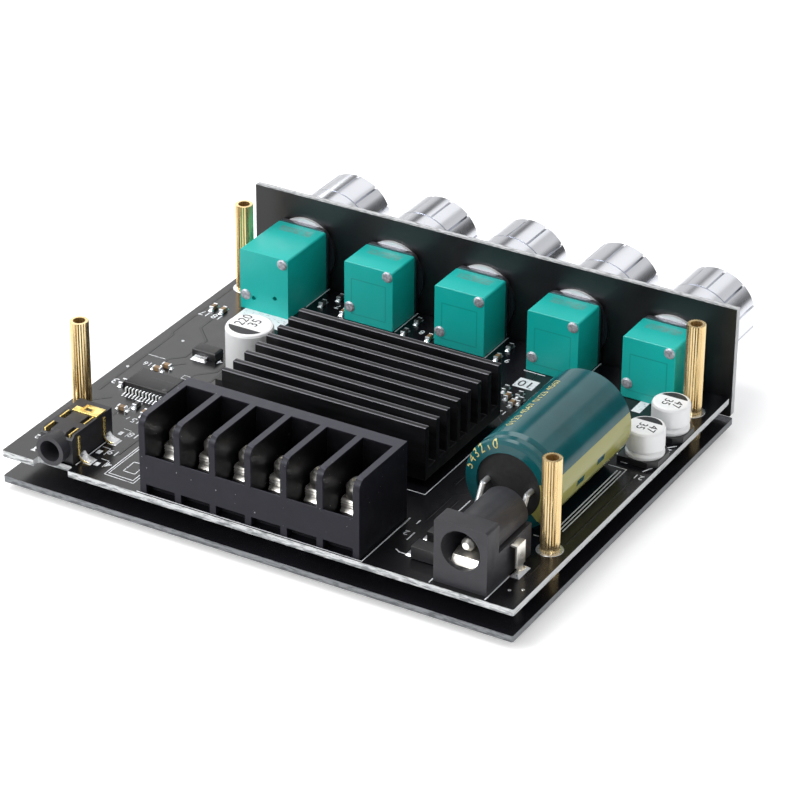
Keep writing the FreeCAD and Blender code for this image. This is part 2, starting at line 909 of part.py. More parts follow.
small_can_places = [(small_can_x, small_can_y), (small_can_x, small_can_y + small_can_pitch)]
write_later["tall_capacitor"] = make_can(tall_can_x, tall_can_y, tall_can_radius, tall_can_top)
write_later["small_capacitors"] = [
    make_can(x, y, small_can_radius, small_can_top) for x, y in small_can_places
]
write_later["capacitor_bases"] = [make_can_base(tall_can_x, tall_can_y, tall_can_radius)] + [
    make_can_base(x, y, small_can_radius) for x, y in small_can_places
]


# Small chips and chip parts

def make_ssop():
    body = box(ssop_x - ssop_length / 2, ssop_y - ssop_width / 2, 0.1, ssop_length, ssop_width,
               ssop_height - 0.1)
    top_edges = [
        edge for edge in body.Edges if abs(edge.CenterOfMass.z - ssop_height) < 1e-6
    ]
    pieces = [body.makeChamfer(0.2, top_edges)]
    reach = (ssop_span - ssop_width) / 2
    for side in (-1, 1):
        for index in range(ssop_leads):
            x = ssop_x + (index - (ssop_leads - 1) / 2) * ssop_pitch
            pieces.append(gull_wing(x, ssop_y + side * ssop_width / 2, X, Y * side, 0.28,
                                    reach, ssop_height / 2))
    return join(pieces)


def make_regulator():
    body = box(regulator_x - regulator_length / 2, regulator_y - regulator_width / 2, 0,
               regulator_length, regulator_width, regulator_height)
    top_edges = [
        edge for edge in body.Edges if abs(edge.CenterOfMass.z - regulator_height) < 1e-6
    ]
    near = regulator_y - regulator_width / 2
    far = regulator_y + regulator_width / 2
    tab = box(regulator_x - 1.6, near - 0.9, 0, 2.3, 1.0, 0.4)
    pieces = [body.makeChamfer(0.25, top_edges), tab]
    for step in (-1, 0, 1):
        pieces.append(box(regulator_x + step * 1.5 - 0.22, far - 0.1, 0, 0.44, 1.0, 0.4))
    return join(pieces)


def make_diode(y):
    middle = jack_left - diode_gap_from_jack - diode_length / 2
    body = box(middle - diode_length / 2, y - diode_width / 2, 0.1, diode_length, diode_width,
               diode_height - 0.1)
    pieces = [body]
    for side in (-1, 1):
        pieces.append(gull_wing(middle + side * diode_length / 2, y, Y, X * side, 1.4, 0.6,
                                diode_height / 2))
    return join(pieces)


def make_chip_part(x, y, turned_along_y):
    length = chip_part_width if turned_along_y else chip_part_length
    width = chip_part_length if turned_along_y else chip_part_width
    cap = chip_part_cap
    rise = 0.05
    body = box(x - length / 2, y - width / 2, 0, length, width, chip_part_height)
    ends = []
    for side in (-1, 1):
        if turned_along_y:
            edge = y + side * width / 2
            ends.append(box(x - length / 2, min(edge, edge - side * cap), 0, length, cap,
                            chip_part_height + rise))
        else:
            edge = x + side * length / 2
            ends.append(box(min(edge, edge - side * cap), y - width / 2, 0, cap, width,
                            chip_part_height + rise))
    return join([body] + ends)


def pot_middle(index):
    return first_pot_margin + pot_width / 2 + index * pot_pitch


def between_pots(index, offset_x, offset_y):
    return (pot_middle(index) + pot_pitch / 2 + offset_x, pot_front - offset_y, True)


# (x, y, turned along Y) of each small part, grouped where it stands
sink_far = sink_near + sink_depth
sink_right = sink_left + sink_length
ceramic_places = [
    (2.8, standoff_far_y - 9.3, True), (4.8, standoff_far_y - 9.4, True),
    (ssop_x - 3.4, ssop_y + 5.8, False), (ssop_x - 2.6, ssop_y + 7.4, False),
    (ssop_x - 1.0, ssop_y - 8.0, False), (ssop_x + 3.0, ssop_y - 7.6, True),
    (sink_right - 2.7, sink_far + 7.4, True), (sink_right - 1.0, sink_far + 5.8, True),
    between_pots(0, 2.9, 5.7), between_pots(1, 2.5, 6.2), between_pots(2, -1.8, 6.4),
]
resistor_places = [
    (ssop_x + 0.4, ssop_y - 6.0, True), (ssop_x - 5.6, ssop_y - 1.0, True),
    (sink_right - 4.1, sink_far + 9.3, True), (sink_right - 1.2, sink_far + 8.7, True),
    (sink_right - 0.2, sink_far + 7.0, True),
    between_pots(0, -1.8, 4.7), between_pots(0, -0.25, 1.4), between_pots(1, -2.0, 6.6),
    between_pots(1, -2.0, 2.1), between_pots(2, -1.7, 2.3),
]

write_later["decoder_chip"] = make_ssop()
write_later["voltage_regulator"] = make_regulator()
write_later["diodes"] = [make_diode(diode_near), make_diode(diode_near + diode_pitch)]
write_later["ceramic_capacitors"] = [make_chip_part(*place) for place in ceramic_places]
write_later["chip_resistors"] = [make_chip_part(*place) for place in resistor_places]


# Controls

def pot_body_depth(index):
    return switch_pot_depth if index == 0 else pot_depth


def make_pot_body(index):
    depth = pot_body_depth(index)
    left = pot_middle(index) - pot_width / 2
    body = box(left, pot_front - depth, 0, pot_width, depth, pot_height)
    body = round_edges(body, pot_edge_radius, Y, lambda p: p.z > pot_height / 2)
    bore = rod(pot_middle(index), pot_front - shaft_into_pot - slip_gap, shaft_height,
               shaft_radius + fit_gap, shaft_into_pot + 1)
    cuts = [bore]
    if index == 0:
        for x, z in ((left + 2.65, 2.3), (left + 6.85, 3.3)):
            cuts.append(rod(x, pot_front - depth - 1, z, 0.4, 1.8))
    return body.cut(cuts)


def make_bushing(index):
    middle = pot_middle(index)
    width = pot_width + 2 * bushing_plate_margin
    plate = box(middle - width / 2, pot_front, 0.6, width, bushing_plate,
                pot_height - 0.6 + bushing_plate_margin)
    plate = round_edges(plate, 1.4, Y, lambda p: p.z > pot_height / 2)
    barrel = rod(middle, pot_front, shaft_height, bushing_radius, bushing_far - pot_front)
    bore = rod(middle, pot_front - 1, shaft_height, shaft_radius + fit_gap,
               bushing_far - pot_front + 2)
    legs = []
    bottom = -board_thickness - tail_below_board
    for side in (-1, 1):
        x = middle + side * (width / 2 - 1.0)
        legs.append(box(x - 0.6, pot_front, bottom, 1.2, bushing_plate, 0.8 - bottom))
        drill(x, pot_front + bushing_plate / 2, 0.7)
    return join([plate, barrel] + legs).cut(bore)


def make_washer(index):
    ring = rod(pot_middle(index), pot_front + bushing_plate, shaft_height, washer_radius,
               washer_thickness)
    return ring.cut(rod(pot_middle(index), 0, shaft_height, bushing_radius + slip_gap,
                        2 * board_depth))


def make_nut(index):
    corner = nut_across_flats / math.sqrt(3)
    corners = [
        Vector(pot_middle(index) + corner * math.sin(math.radians(60 * step)), panel_far,
               shaft_height + corner * math.cos(math.radians(60 * step)))
        for step in range(6)
    ]
    hexagon = prism(corners, Y * nut_thickness)
    return hexagon.cut(rod(pot_middle(index), 0, shaft_height, bushing_radius + fit_gap,
                           2 * knob_far))


def make_rivets(index):
    back = pot_front - pot_body_depth(index)
    left = pot_middle(index) - pot_width / 2
    places = [
        (left + rivet_inset_x, rivet_inset_bottom),
        (left + pot_width - rivet_inset_x, pot_height - rivet_inset_top),
    ]
    profile = [(0, 0), (rivet_radius, 0), (rivet_radius, rivet_height * 0.4),
               (rivet_radius * 0.7, rivet_height), (0, rivet_height)]
    return [turned(profile, Vector(x, back, z), -Y, X) for x, z in places]


def make_pins(index):
    rows = [pot_front - 1.9, pot_front - 4.6]
    bottom = -board_thickness - tail_below_board
    places = [(pot_middle(index) + step * pin_pitch, y) for y in rows for step in (-1, 0, 1)]
    if index == 0:
        rear = pot_front - switch_pot_depth + 2.2
        places += [(pot_middle(index) + step * pin_pitch, rear) for step in (-1, 1)]
    pins = []
    for x, y in places:
        pins.append(box(x - pin_width / 2, y - pin_thickness / 2, bottom, pin_width,
                        pin_thickness, -bottom))
        drill(x, y, math.hypot(pin_width, pin_thickness) / 2)
    return pins


def shaft_flat(index, gap):
    """The half-space above the flat of a control's shaft."""
    level = shaft_height + shaft_radius - shaft_flat_depth + gap
    return box(pot_middle(index) - shaft_radius - 1, knob_bore_start, level,
               2 * shaft_radius + 2, knob_length, shaft_radius)


def make_shaft(index):
    start = pot_front - shaft_into_pot
    length = knob_bore_start + shaft_into_knob - start
    shaft = rod(pot_middle(index), start, shaft_height, shaft_radius, length)
    return shaft.cut(shaft_flat(index, 0))


def fluted_knob_outline(index, y):
    middle = pot_middle(index)
    corners = []
    step = 2 * math.pi / knob_flutes
    half = math.asin(knob_flute_width / 2 / knob_radius)
    for flute in range(knob_flutes):
        angle = (flute + knob_flute_starts[index]) * step
        for offset, radius in ((-half, knob_radius), (0, knob_radius - knob_flute_depth),
                               (half, knob_radius)):
            a = angle + offset
            corners.append(Vector(middle + radius * math.cos(a), y,
                                  shaft_height + radius * math.sin(a)))
    return corners


def make_knob(index):
    middle = pot_middle(index)
    base = Vector(middle, knob_near, shaft_height)
    skirt_end = knob_skirt_length
    neck_end = skirt_end + knob_neck_width
    skirt = turned([
        (0, 0),
        (knob_skirt_radius - 0.2, 0),
        (knob_skirt_radius, 0.2),
        (knob_skirt_radius, skirt_end),
        (knob_skirt_radius - knob_neck_depth, skirt_end),
        (knob_skirt_radius - knob_neck_depth, neck_end + 0.1),
        (0, neck_end + 0.1),
    ], base, Y, X)
    barrel = prism(fluted_knob_outline(index, knob_near + neck_end),
                   Y * (knob_length - neck_end))
    envelope = turned([
        (0, 0),
        (knob_radius - 0.2, 0),
        (knob_radius + 0.1, 0.3),
        (knob_radius + 0.1, knob_length - neck_end - knob_chamfer - 0.1),
        (knob_radius - knob_chamfer, knob_length - neck_end),
        (0, knob_length - neck_end),
    ], base + Y * neck_end, Y, X)
    knob = join([skirt, barrel.common(envelope)])
    counterbore = rod(middle, knob_near - 1, shaft_height, knob_counterbore_radius,
                      knob_bore_start - knob_near + 1)
    bore = rod(middle, knob_near, shaft_height, shaft_radius + 0.02,
               knob_bore_start + shaft_into_knob + slip_gap - knob_near)
    bore = bore.cut(shaft_flat(index, 0.02))
    dish = rod(middle, knob_far - knob_dish_depth, shaft_height, knob_dish_radius, 5)
    return knob.cut([counterbore, bore, dish])


for control in range(controls):
    number = "_%d" % (control + 1)
    write_later["potentiometer" + number] = make_pot_body(control)
    write_later["shaft" + number] = make_shaft(control)
    write_later["knob" + number] = make_knob(control)
write_later["bushings"] = [make_bushing(index) for index in range(controls)]
write_later["washers"] = [make_washer(index) for index in range(controls)]
write_later["bushing_nuts"] = [make_nut(index) for index in range(controls)]
write_later["rivets"] = [rivet for index in range(controls) for rivet in make_rivets(index)]
write_later["potentiometer_pins"] = [pin for index in range(controls) for pin in make_pins(index)]


# Boards and panel

def make_main_board():
    board = box(0, 0, -board_thickness, board_width, board_depth, board_thickness)
    board = round_edges(board, board_corner_radius, Z)
    notch = box(aux_centre_x - aux_notch_width / 2, -5, -board_thickness - 1,
                aux_notch_width, 5 + aux_notch_depth, board_thickness + 2)
    notch = round_edges(notch, 0.5, Z, lambda p: p.y > 0)
    holes = [notch]
    for x, y in standoff_places:
        holes.append(post(x, y, -board_thickness, stack_hole_radius, board_thickness))
    for x in sink_screw_places:
        holes.append(post(x, sink_middle_y, -board_thickness, sink_screw_radius + slip_gap,
                          board_thickness))
    for x, y, radius in lead_holes:
        holes.append(post(x, y, -board_thickness, radius, board_thickness))
    return board.cut(holes)


def make_base_plate():
    plate = box(0, 0, plate_bottom, board_width, plate_depth, plate_thickness)
    plate = round_edges(plate, board_corner_radius, Z)
    holes = [
        post(x, y, plate_bottom, stack_hole_radius, plate_thickness)
        for x, y in standoff_places
    ]
    return plate.cut(holes)


def make_front_panel():
    width = board_width - panel_left_inset + panel_right_overhang
    panel = box(panel_left_inset, panel_near, panel_above_board - panel_height, width,
                panel_thickness, panel_height)
    panel = round_edges(panel, panel_corner_radius, Y, lambda p: p.z < 0)
    holes = [
        rod(pot_middle(index), panel_near - 1, shaft_height, bushing_radius + slip_gap,
            panel_thickness + 2)
        for index in range(controls)
    ]
    return panel.cut(holes)


write_later["main_board"] = make_main_board()
write_later["base_plate"] = make_base_plate()
write_later["front_panel"] = make_front_panel()

os.makedirs("parts", exist_ok=True)
for node, shape in write_later.items():
    write(node, shape)
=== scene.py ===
import math

import bmesh
import bpy
from mathutils import Matrix, Vector
from mathutils.bvhtree import BVHTree


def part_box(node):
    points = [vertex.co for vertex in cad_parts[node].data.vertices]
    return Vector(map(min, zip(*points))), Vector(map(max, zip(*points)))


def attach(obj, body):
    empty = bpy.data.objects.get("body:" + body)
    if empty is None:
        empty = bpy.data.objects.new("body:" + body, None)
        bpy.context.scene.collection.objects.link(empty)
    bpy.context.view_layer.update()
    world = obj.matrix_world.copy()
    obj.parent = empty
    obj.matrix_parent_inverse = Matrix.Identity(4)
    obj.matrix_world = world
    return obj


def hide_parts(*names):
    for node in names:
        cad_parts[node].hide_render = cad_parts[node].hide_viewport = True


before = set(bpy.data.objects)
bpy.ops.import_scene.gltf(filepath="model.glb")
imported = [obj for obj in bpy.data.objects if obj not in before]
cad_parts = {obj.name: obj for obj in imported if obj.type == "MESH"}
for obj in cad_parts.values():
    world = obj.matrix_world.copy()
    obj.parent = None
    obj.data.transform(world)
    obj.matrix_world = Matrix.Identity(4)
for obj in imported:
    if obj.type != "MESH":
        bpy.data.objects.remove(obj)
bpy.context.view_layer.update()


# Two circuit boards, one above the other, of woven glass and resin under a satin black mask.
# Their sawn edges show the bare laminate: bright and speckled on the upper board, greyer on
# the base plate, and painted lighter where they face right, as painted light. The front panel
# is cut from the same sheet and has a duller mask.
board_low, board_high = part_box("main_board")
corner = Vector((board_low[0], board_low[1], board_high[2]))


def spot(x, y, z=0.0):
    """A place in millimetres from the near left corner of the upper board's top."""
    return corner + Vector((x, y, z)) / 1000


def tone(code):
    """A colour as it is seen, such as "#2a2a2e", in the linear values of a shader."""
    parts = [int(code[i:i + 2], 16) / 255 for i in (1, 3, 5)]
    return (*[((c + 0.055) / 1.055) ** 2.4 if c > 0.04045 else c / 12.92 for c in parts], 1.0)


def inlet(finish, name):
    """One of the sockets that a finish's shader takes its values from."""
    return finish.node_tree.nodes["Principled BSDF"].inputs[name]


def new_finish(name, code, roughness, metallic=0.0):
    finish = bpy.data.materials.new(name)
    finish.use_nodes = True
    inlet(finish, "Base Color").default_value = tone(code)
    inlet(finish, "Roughness").default_value = roughness
    inlet(finish, "Metallic").default_value = metallic
    return finish


def feed(finish, socket, value):
    """Links a value into a socket, or sets it where it is a plain number or colour. finish
    is a material, or the world."""
    if isinstance(value, bpy.types.NodeSocket):
        finish.node_tree.links.new(value, socket)
    else:
        socket.default_value = value


def calculate(finish, operation, first, second=0.0, third=0.0):
    node = finish.node_tree.nodes.new("ShaderNodeMath")
    node.operation = operation
    for socket, value in zip(node.inputs, (first, second, third)):
        feed(finish, socket, value)
    return node.outputs[0]


def product(finish, value, *others):
    """Multiplies values. Of conditions, which are 0 or 1, it says whether all are met."""
    for other in others:
        value = calculate(finish, "MULTIPLY", value, other)
    return value


def above(finish, value, limit):
    return calculate(finish, "GREATER_THAN", value, limit)


def window(finish, value, low, high):
    """1 where the value lies between low and high, otherwise 0."""
    return calculate(finish, "COMPARE", value, (low + high) / 2, (high - low) / 2)


def place_of(finish, kind="Object"):
    """The X, Y and Z of a point of the surface, of its normal or of a direction of the sky."""
    source = finish.node_tree.nodes.new("ShaderNodeTexCoord")
    split = finish.node_tree.nodes.new("ShaderNodeSeparateXYZ")
    finish.node_tree.links.new(source.outputs[kind], split.inputs[0])
    return split.outputs


def speckle(finish, scale, detail=3.0, stretch=(1, 1, 1)):
    """An uneven pattern from 0 to 1 that repeats about scale times a metre."""
    source = finish.node_tree.nodes.new("ShaderNodeTexCoord")
    mapping = finish.node_tree.nodes.new("ShaderNodeMapping")
    mapping.inputs["Scale"].default_value = stretch
    noise = finish.node_tree.nodes.new("ShaderNodeTexNoise")
    noise.inputs["Scale"].default_value = scale
    noise.inputs["Detail"].default_value = detail
    finish.node_tree.links.new(source.outputs["Object"], mapping.inputs[0])
    finish.node_tree.links.new(mapping.outputs[0], noise.inputs["Vector"])
    return noise.outputs[0]


def steps(finish, factor, *stops):
    """Turns a value into a colour. stops are (value, colour) pairs."""
    ramp = finish.node_tree.nodes.new("ShaderNodeValToRGB")
    feed(finish, ramp.inputs[0], factor)
    elements = ramp.color_ramp.elements
    while len(elements) < len(stops):
        elements.new(0.5)
    for element, (value, code) in zip(elements, stops):
        element.position = value
        element.color = tone(code)
    return ramp.outputs[0]


def between(finish, factor, low, high):
    """Spreads a speckle, which stays mostly between 0.3 and 0.7, from low to high."""
    node = finish.node_tree.nodes.new("ShaderNodeMapRange")
    for socket, value in zip(node.inputs, (factor, 0.3, 0.7, low, high)):
        feed(finish, socket, value)
    return node.outputs[0]


def layered(finish, factor, under, over):
    """The colour under where factor is 0 and over where it is 1."""
    node = finish.node_tree.nodes.new("ShaderNodeMix")
    node.data_type = "RGBA"
    feed(finish, node.inputs[0], factor)
    for socket, value in ((node.inputs[6], under), (node.inputs[7], over)):
        feed(finish, socket, tone(value) if isinstance(value, str) else value)
    return node.outputs[2]


def colour(finish, value):
    feed(finish, inlet(finish, "Base Color"), value)


def shades(finish, scale, darkest, lightest, start=0.3, end=0.7, **pattern):
    """A colour that wanders between two with a speckle."""
    return steps(finish, speckle(finish, scale, **pattern), (start, darkest), (end, lightest))


def gloss(finish, scale, low, high, **pattern):
    """Makes the roughness wander from low to high with a speckle."""
    feed(finish, inlet(finish, "Roughness"),
         between(finish, speckle(finish, scale, **pattern), low, high))


def relief(finish, height, depth, strength=1.0, **pattern):
    """Small bumps, depth millimetres deep. height is a value or the scale of a speckle."""
    if not isinstance(height, bpy.types.NodeSocket):
        height = speckle(finish, height, **pattern)
    bump = finish.node_tree.nodes.new("ShaderNodeBump")
    bump.inputs["Strength"].default_value = strength
    bump.inputs["Distance"].default_value = depth / 1000
    feed(finish, bump.inputs["Height"], height)
    feed(finish, inlet(finish, "Normal"), bump.outputs[0])


def laminate(node, face_axis, glossiness, edge, mask):
    """A masked sheet. face_axis is the direction that its two broad faces look in, and edge
    and mask are the darkest and lightest colours of its sawn edges and its faces."""
    bright_layer = 0.00035  # metres below the outer face
    layer_waves = 4830  # radians a metre, which is 1.3 mm from layer to layer
    finish = new_finish(node + "_sheet", mask[0], glossiness)
    normal = place_of(finish, "Normal")
    rim = window(finish, normal[face_axis], -0.5, 0.5)
    painted_light_right_end = above(finish, normal[0], 0.5)
    outer_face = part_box(node)[1][face_axis]
    depth = calculate(finish, "SUBTRACT", place_of(finish)[face_axis], outer_face - bright_layer)
    layers = calculate(finish, "COSINE", product(finish, depth, layer_waves))
    stretch = [0.3, 0.3, 0.3]
    stretch[face_axis] = 1.6
    fibres = speckle(finish, 2600, 4.0, stretch)
    fibres = calculate(finish, "MULTIPLY_ADD", layers, 0.09, fibres)
    # Sawn edges that face right are painted lighter: painted light from the right.
    fibres = calculate(finish, "MULTIPLY_ADD", painted_light_right_end, 0.16, fibres)
    bare = steps(finish, fibres, (0.36, edge[0]), (0.60, edge[1]))
    covered = shades(finish, 45, *mask, 0.35, 0.65)
    colour(finish, layered(finish, rim, covered, bare))
    satin = between(finish, speckle(finish, 300), glossiness - 0.03, glossiness + 0.04)
    satin = calculate(finish, "MAXIMUM", satin, product(finish, rim, 0.7))
    feed(finish, inlet(finish, "Roughness"), satin)
    relief(finish, 1500, 0.006, 0.4)
    return finish


def dress(finish, *nodes):
    """Gives CAD parts their finish."""
    for node in nodes:
        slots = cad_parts[node].data.materials
        slots.clear()
        slots.append(finish)


for node, face_axis, glossiness, edge, mask in (
        ("main_board", 2, 0.23, ("#767a7c", "#d6d8d9"), ("#0a0a0d", "#111116")),
        ("base_plate", 2, 0.20, ("#53565a", "#84878a"), ("#1a1a1e", "#212126")),
        ("front_panel", 1, 0.38, ("#7d8082", "#c9cbcd"), ("#0e0e11", "#151519"))):
    dress(laminate(node, face_axis, glossiness, edge, mask), node)


# Copper tracks under the mask stand a little proud of the board and catch the light. They run
# between the small chips, the sockets and the controls in straight lines with mitred turns.
def to_mesh(bm, name):
    mesh = bpy.data.meshes.new(name)
    bm.to_mesh(mesh)
    bm.free()
    return mesh


def new_piece(name, shape, *finishes, body="root", slot=None):
    """A mesh, or a bmesh that is then freed, as a piece of the object that rides on a body."""
    if isinstance(shape, bmesh.types.BMesh):
        shape = to_mesh(shape, name)
    piece = bpy.data.objects.new(name, shape)
    bpy.context.scene.collection.objects.link(piece)
    for finish in finishes:
        shape.materials.append(finish)
    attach(piece, body)
    return piece


def mesh_of(curve):
    """The mesh that a curve or a text makes."""
    holder = bpy.data.objects.new(curve.name, curve)
    mesh = bpy.data.meshes.new_from_object(holder)
    bpy.data.objects.remove(holder)
    return mesh


def drawn_lines(strokes, width, height):
    """Flat lines along strokes of (x, y) places, width and height in millimetres."""
    curve = bpy.data.curves.new("lines", "CURVE")
    curve.dimensions = "3D"
    curve.bevel_depth = width / 2000
    curve.bevel_resolution = 1
    curve.use_fill_caps = True
    for stroke in strokes:
        line = curve.splines.new("POLY")
        line.points.add(len(stroke) - 1)
        for point, (x, y) in zip(line.points, stroke):
            point.co = (*spot(x, y)[:2], 0, 1)
    mesh = mesh_of(curve)
    mesh.transform(Matrix.Translation((0, 0, corner.z))
                   @ Matrix.Scale(2 * height / width, 4, (0, 0, 1)))
    return mesh


track_strokes = [
    [(6.0, 33.5), (6.0, 38.5), (8.0, 40.5), (8.0, 47.0), (4.6, 50.4), (4.6, 54.0)],
    [(7.3, 33.0), (7.3, 36.6), (9.4, 38.7)],
    [(12.6, 33.0), (12.6, 36.0), (15.3, 38.7), (15.3, 53.0)],
    [(13.6, 32.4), (16.2, 35.0), (16.2, 52.0), (18.5, 54.3)],
    [(5.2, 23.0), (3.0, 20.8), (3.0, 14.0)],
    [(8.6, 22.4), (8.6, 18.2)],
    [(13.0, 22.8), (15.2, 20.6), (20.5, 20.6), (23.0, 18.1)],
    [(13.8, 24.6), (18.5, 24.6), (22.0, 28.1), (22.0, 33.0)],
    [(14.1, 26.6), (17.5, 26.6), (20.0, 29.1), (20.0, 33.0)],
    [(2.0, 24.0), (2.0, 46.0), (1.4, 46.6), (1.4, 66.0)],
    [(13.9, 5.6), (16.6, 8.3), (16.6, 17.0), (19.0, 19.4)],
    [(1.5, 8.5), (1.5, 18.0)],
    [(68.0, 15.5), (68.0, 24.0), (70.0, 26.0), (70.0, 44.0), (66.0, 48.0)],
    [(69.4, 16.0), (69.4, 23.0)],
    [(66.6, 27.0), (66.6, 45.0), (62.0, 49.6)],
    [(88.9, 8.0), (88.9, 15.0)],
    [(89.6, 20.0), (89.6, 44.0)],
    [(84.0, 48.0), (82.0, 52.0), (82.0, 60.0)],
    [(64.5, 60.0), (64.5, 66.0), (66.5, 68.0)],
    [(26.0, 66.0), (26.0, 71.5), (23.0, 71.5)],
    [(44.0, 62.0), (44.0, 71.0), (41.0, 71.0)],
    [(60.8, 63.0), (60.8, 71.0), (58.0, 71.0)],
]
track_finish = new_finish("covered_copper", "#131316", 0.20)
gloss(track_finish, 300, 0.17, 0.25)
new_piece("copper_tracks", drawn_lines(track_strokes, 0.45, 0.022), track_finish,
          slot="board_laminate")


# White epoxy ink screened on the board: outlines round the parts, marks and plain numerals.
# It is a few hundredths of a millimetre thick, with a slightly ragged, thin edge.
ink_finish = new_finish("white_ink", "#e9edf2", 0.55)
colour(ink_finish, shades(ink_finish, 2500, "#a9adb2", "#eceff3", 0.28, 0.45))
relief(ink_finish, 4000, 0.01, 0.4)
ink_height = 0.03

thick_strokes = [
    [(12.6, 2.1), (12.6, 10.9)],
    [(25.2, 0.34), (65.57, 0.34), (65.57, 14.9)],
    [(26.0, 22.05), (64.1, 22.05), (64.1, 48.8)],
    [(86.55, 0.3), (86.55, 8.0)],
    [(77.1, 0.34), (77.1, 1.6)],
    [(71.0, 20.4), (71.0, 24.0)],
    [(65.6, 11.7), (65.6, 14.4)],
    [(68.3, 9.1), (68.3, 11.5)],
    [(68.2, 6.0), (69.1, 5.5), (75.1, 5.5)],
    [(18.0, 12.3), (18.0, 2.15), (23.5, 1.95), (23.5, 4.1), (26.5, 6.2)],
    [(18.42, 11.6), (18.42, 2.75), (23.0, 2.65), (23.0, 4.5), (26.5, 7.0)],
    [(20.0, 7.5), (20.0, 4.45), (22.1, 4.4), (22.1, 6.4)],
    [(21.2, 7.6), (20.0, 7.5)],
    [(84.15, 20.1), (85.0, 20.1)],
    [(83.8, 48.6), (85.6, 46.5), (86.7, 46.5)],
    [(89.9, 45.4), (91.0, 47.9)],
    [(89.9, 54.1), (91.0, 55.3)],
    [(84.3, 44.7), (87.45, 44.7), (87.45, 23.1)],
    [(86.3, 43.8), (86.3, 23.1)],
    [(86.88, 43.8), (86.88, 23.1)],
    [(15.95, 65.8), (15.95, 73.6)],
    [(33.4, 65.8), (33.4, 73.6)],
    [(50.75, 65.5), (50.75, 73.6)],
    [(58.3, 65.1), (62.3, 65.05)],
    [(68.2, 65.8), (68.2, 73.6)],
    [(12.3, 34.75), (13.4, 34.7)],
    [(13.9, 34.7), (14.5, 34.65)],
    [(2.4, 13.9), (4.2, 13.9), (4.2, 16.2)],
]
new_piece("board_outlines", drawn_lines(thick_strokes, 0.24, ink_height), ink_finish,
          slot="board_laminate")

fine_strokes = [[(x + 0.1, y - 2.1), (x, y), (x - 1.45, y + 0.05)]
                for x, y in ((14.15, 15.4), (14.5, 9.0), (16.4, 5.75))]
fine_strokes += [
    [(9.76, 20.4), (9.7, 22.2)],
    [(11.2, 18.2), (11.4, 19.1)],
    [(2.2, 38.2), (5.6, 38.2)],
    [(11.35, 34.05), (12.45, 34.05), (12.45, 35.15), (11.35, 35.15), (11.35, 34.05)],
]
new_piece("board_fine_lines", drawn_lines(fine_strokes, 0.14, ink_height), ink_finish,
          slot="board_laminate")


def numeral(text, height, thickness):
    """A plain numeral as a flat mesh round the origin, sizes in millimetres."""
    words = bpy.data.curves.new("numeral", "FONT")
    words.body = text
    words.size = 1.0
    words.align_x = "CENTER"
    words.align_y = "CENTER"
    words.extrude = thickness / 1000
    words.resolution_u = 3
    mesh = mesh_of(words)
    numeral_share = 0.72  # height of a numeral in a font of size 1
    size = height / 1000 / numeral_share
    mesh.transform(Matrix.Diagonal((size, size, 1, 1)))
    return mesh


def printed(bm, text, x, y, z, height, turn=180.0, thickness=0.02):
    """Adds a plain numeral, centred on a place and turned about the vertical."""
    mesh = numeral(text, height, thickness)
    mesh.transform(Matrix.Translation(spot(x, y, z)) @ Matrix.Rotation(math.radians(turn), 4, "Z"))
    bm.from_mesh(mesh)
    bpy.data.meshes.remove(mesh)


print_mesh = bmesh.new()
numerals = [
    ("18", 15.3, 14.4, 1.5), ("19", 15.6, 8.3, 1.5), ("14", 17.5, 4.8, 1.5),
    ("15", 13.0, 18.5, 1.4), ("3", 2.6, 27.9, 1.7), ("2", 2.3, 6.5, 1.3), ("5", 1.6, 10.0, 1.3),
    ("1", 67.3, 14.5, 1.3), ("2", 67.2, 10.9, 1.3), ("21", 90.1, 43.6, 1.3),
    ("22", 90.2, 53.4, 1.1), ("9", 54.5, 66.5, 1.3), ("13", 60.0, 52.6, 1.2),
    ("12", 62.0, 50.8, 1.2), ("7", 20.6, 68.6, 1.3), ("8", 37.4, 68.0, 1.3),
    ("17", 2.5, 55.1, 1.5), ("18", 4.9, 55.1, 1.5), ("4", 13.9, 41.9, 1.2),
    ("6", 6.2, 19.6, 1.2), ("16", 4.0, 35.4, 1.2), ("20", 11.6, 49.2, 1.2),
]
for text, x, y, height in numerals:
    printed(print_mesh, text, x, y, 0.012, height)


def filled(bm, *points):
    """A flat patch of ink with its corners at (x, y) places."""
    bm.faces.new([bm.verts.new(spot(x, y, ink_height)) for x, y in points])


def filled_box(bm, left, near, right, far):
    filled(bm, (left, near), (right, near), (right, far), (left, far))


filled(print_mesh, (3.75, 2.3), (4.75, 2.3), (4.05, 3.3))
for sides in ((7.3, 56.2, 16.4, 60.5), (79.6, 61.8, 81.2, 66.6), (12.75, 13.4, 13.45, 14.5),
              (13.1, 6.8, 13.9, 7.9), (14.9, 3.5, 15.7, 4.6)):
    filled_box(print_mesh, *sides)
new_piece("board_numerals", print_mesh, ink_finish, slot="board_laminate")

# A white box printed near the chips, with a plain number in dark ink on it.
label = bmesh.new()
filled_box(label, 59.1, 59.5, 62.7, 62.6)
new_piece("number_box", label, ink_finish, slot="board_laminate")
dark_ink = new_finish("black_ink", "#17181c", 0.5)
colour(dark_ink, shades(dark_ink, 3000, "#101114", "#2a2b30"))
label_text = bmesh.new()
printed(label_text, "10", 60.9, 61.05, 0.04, 2.0)
new_piece("number_in_box", label_text, dark_ink, slot="board_laminate")


# Tinned copper: rings round the standoffs, small plated holes and the pads below the chips.
# The reflowed solder on them is bright and slightly rounded.
solder_finish = new_finish("solder", "#e3e6e9", 0.3, 0.8)
gloss(solder_finish, 1500, 0.2, 0.42)
relief(solder_finish, 700, 0.02, 0.5)


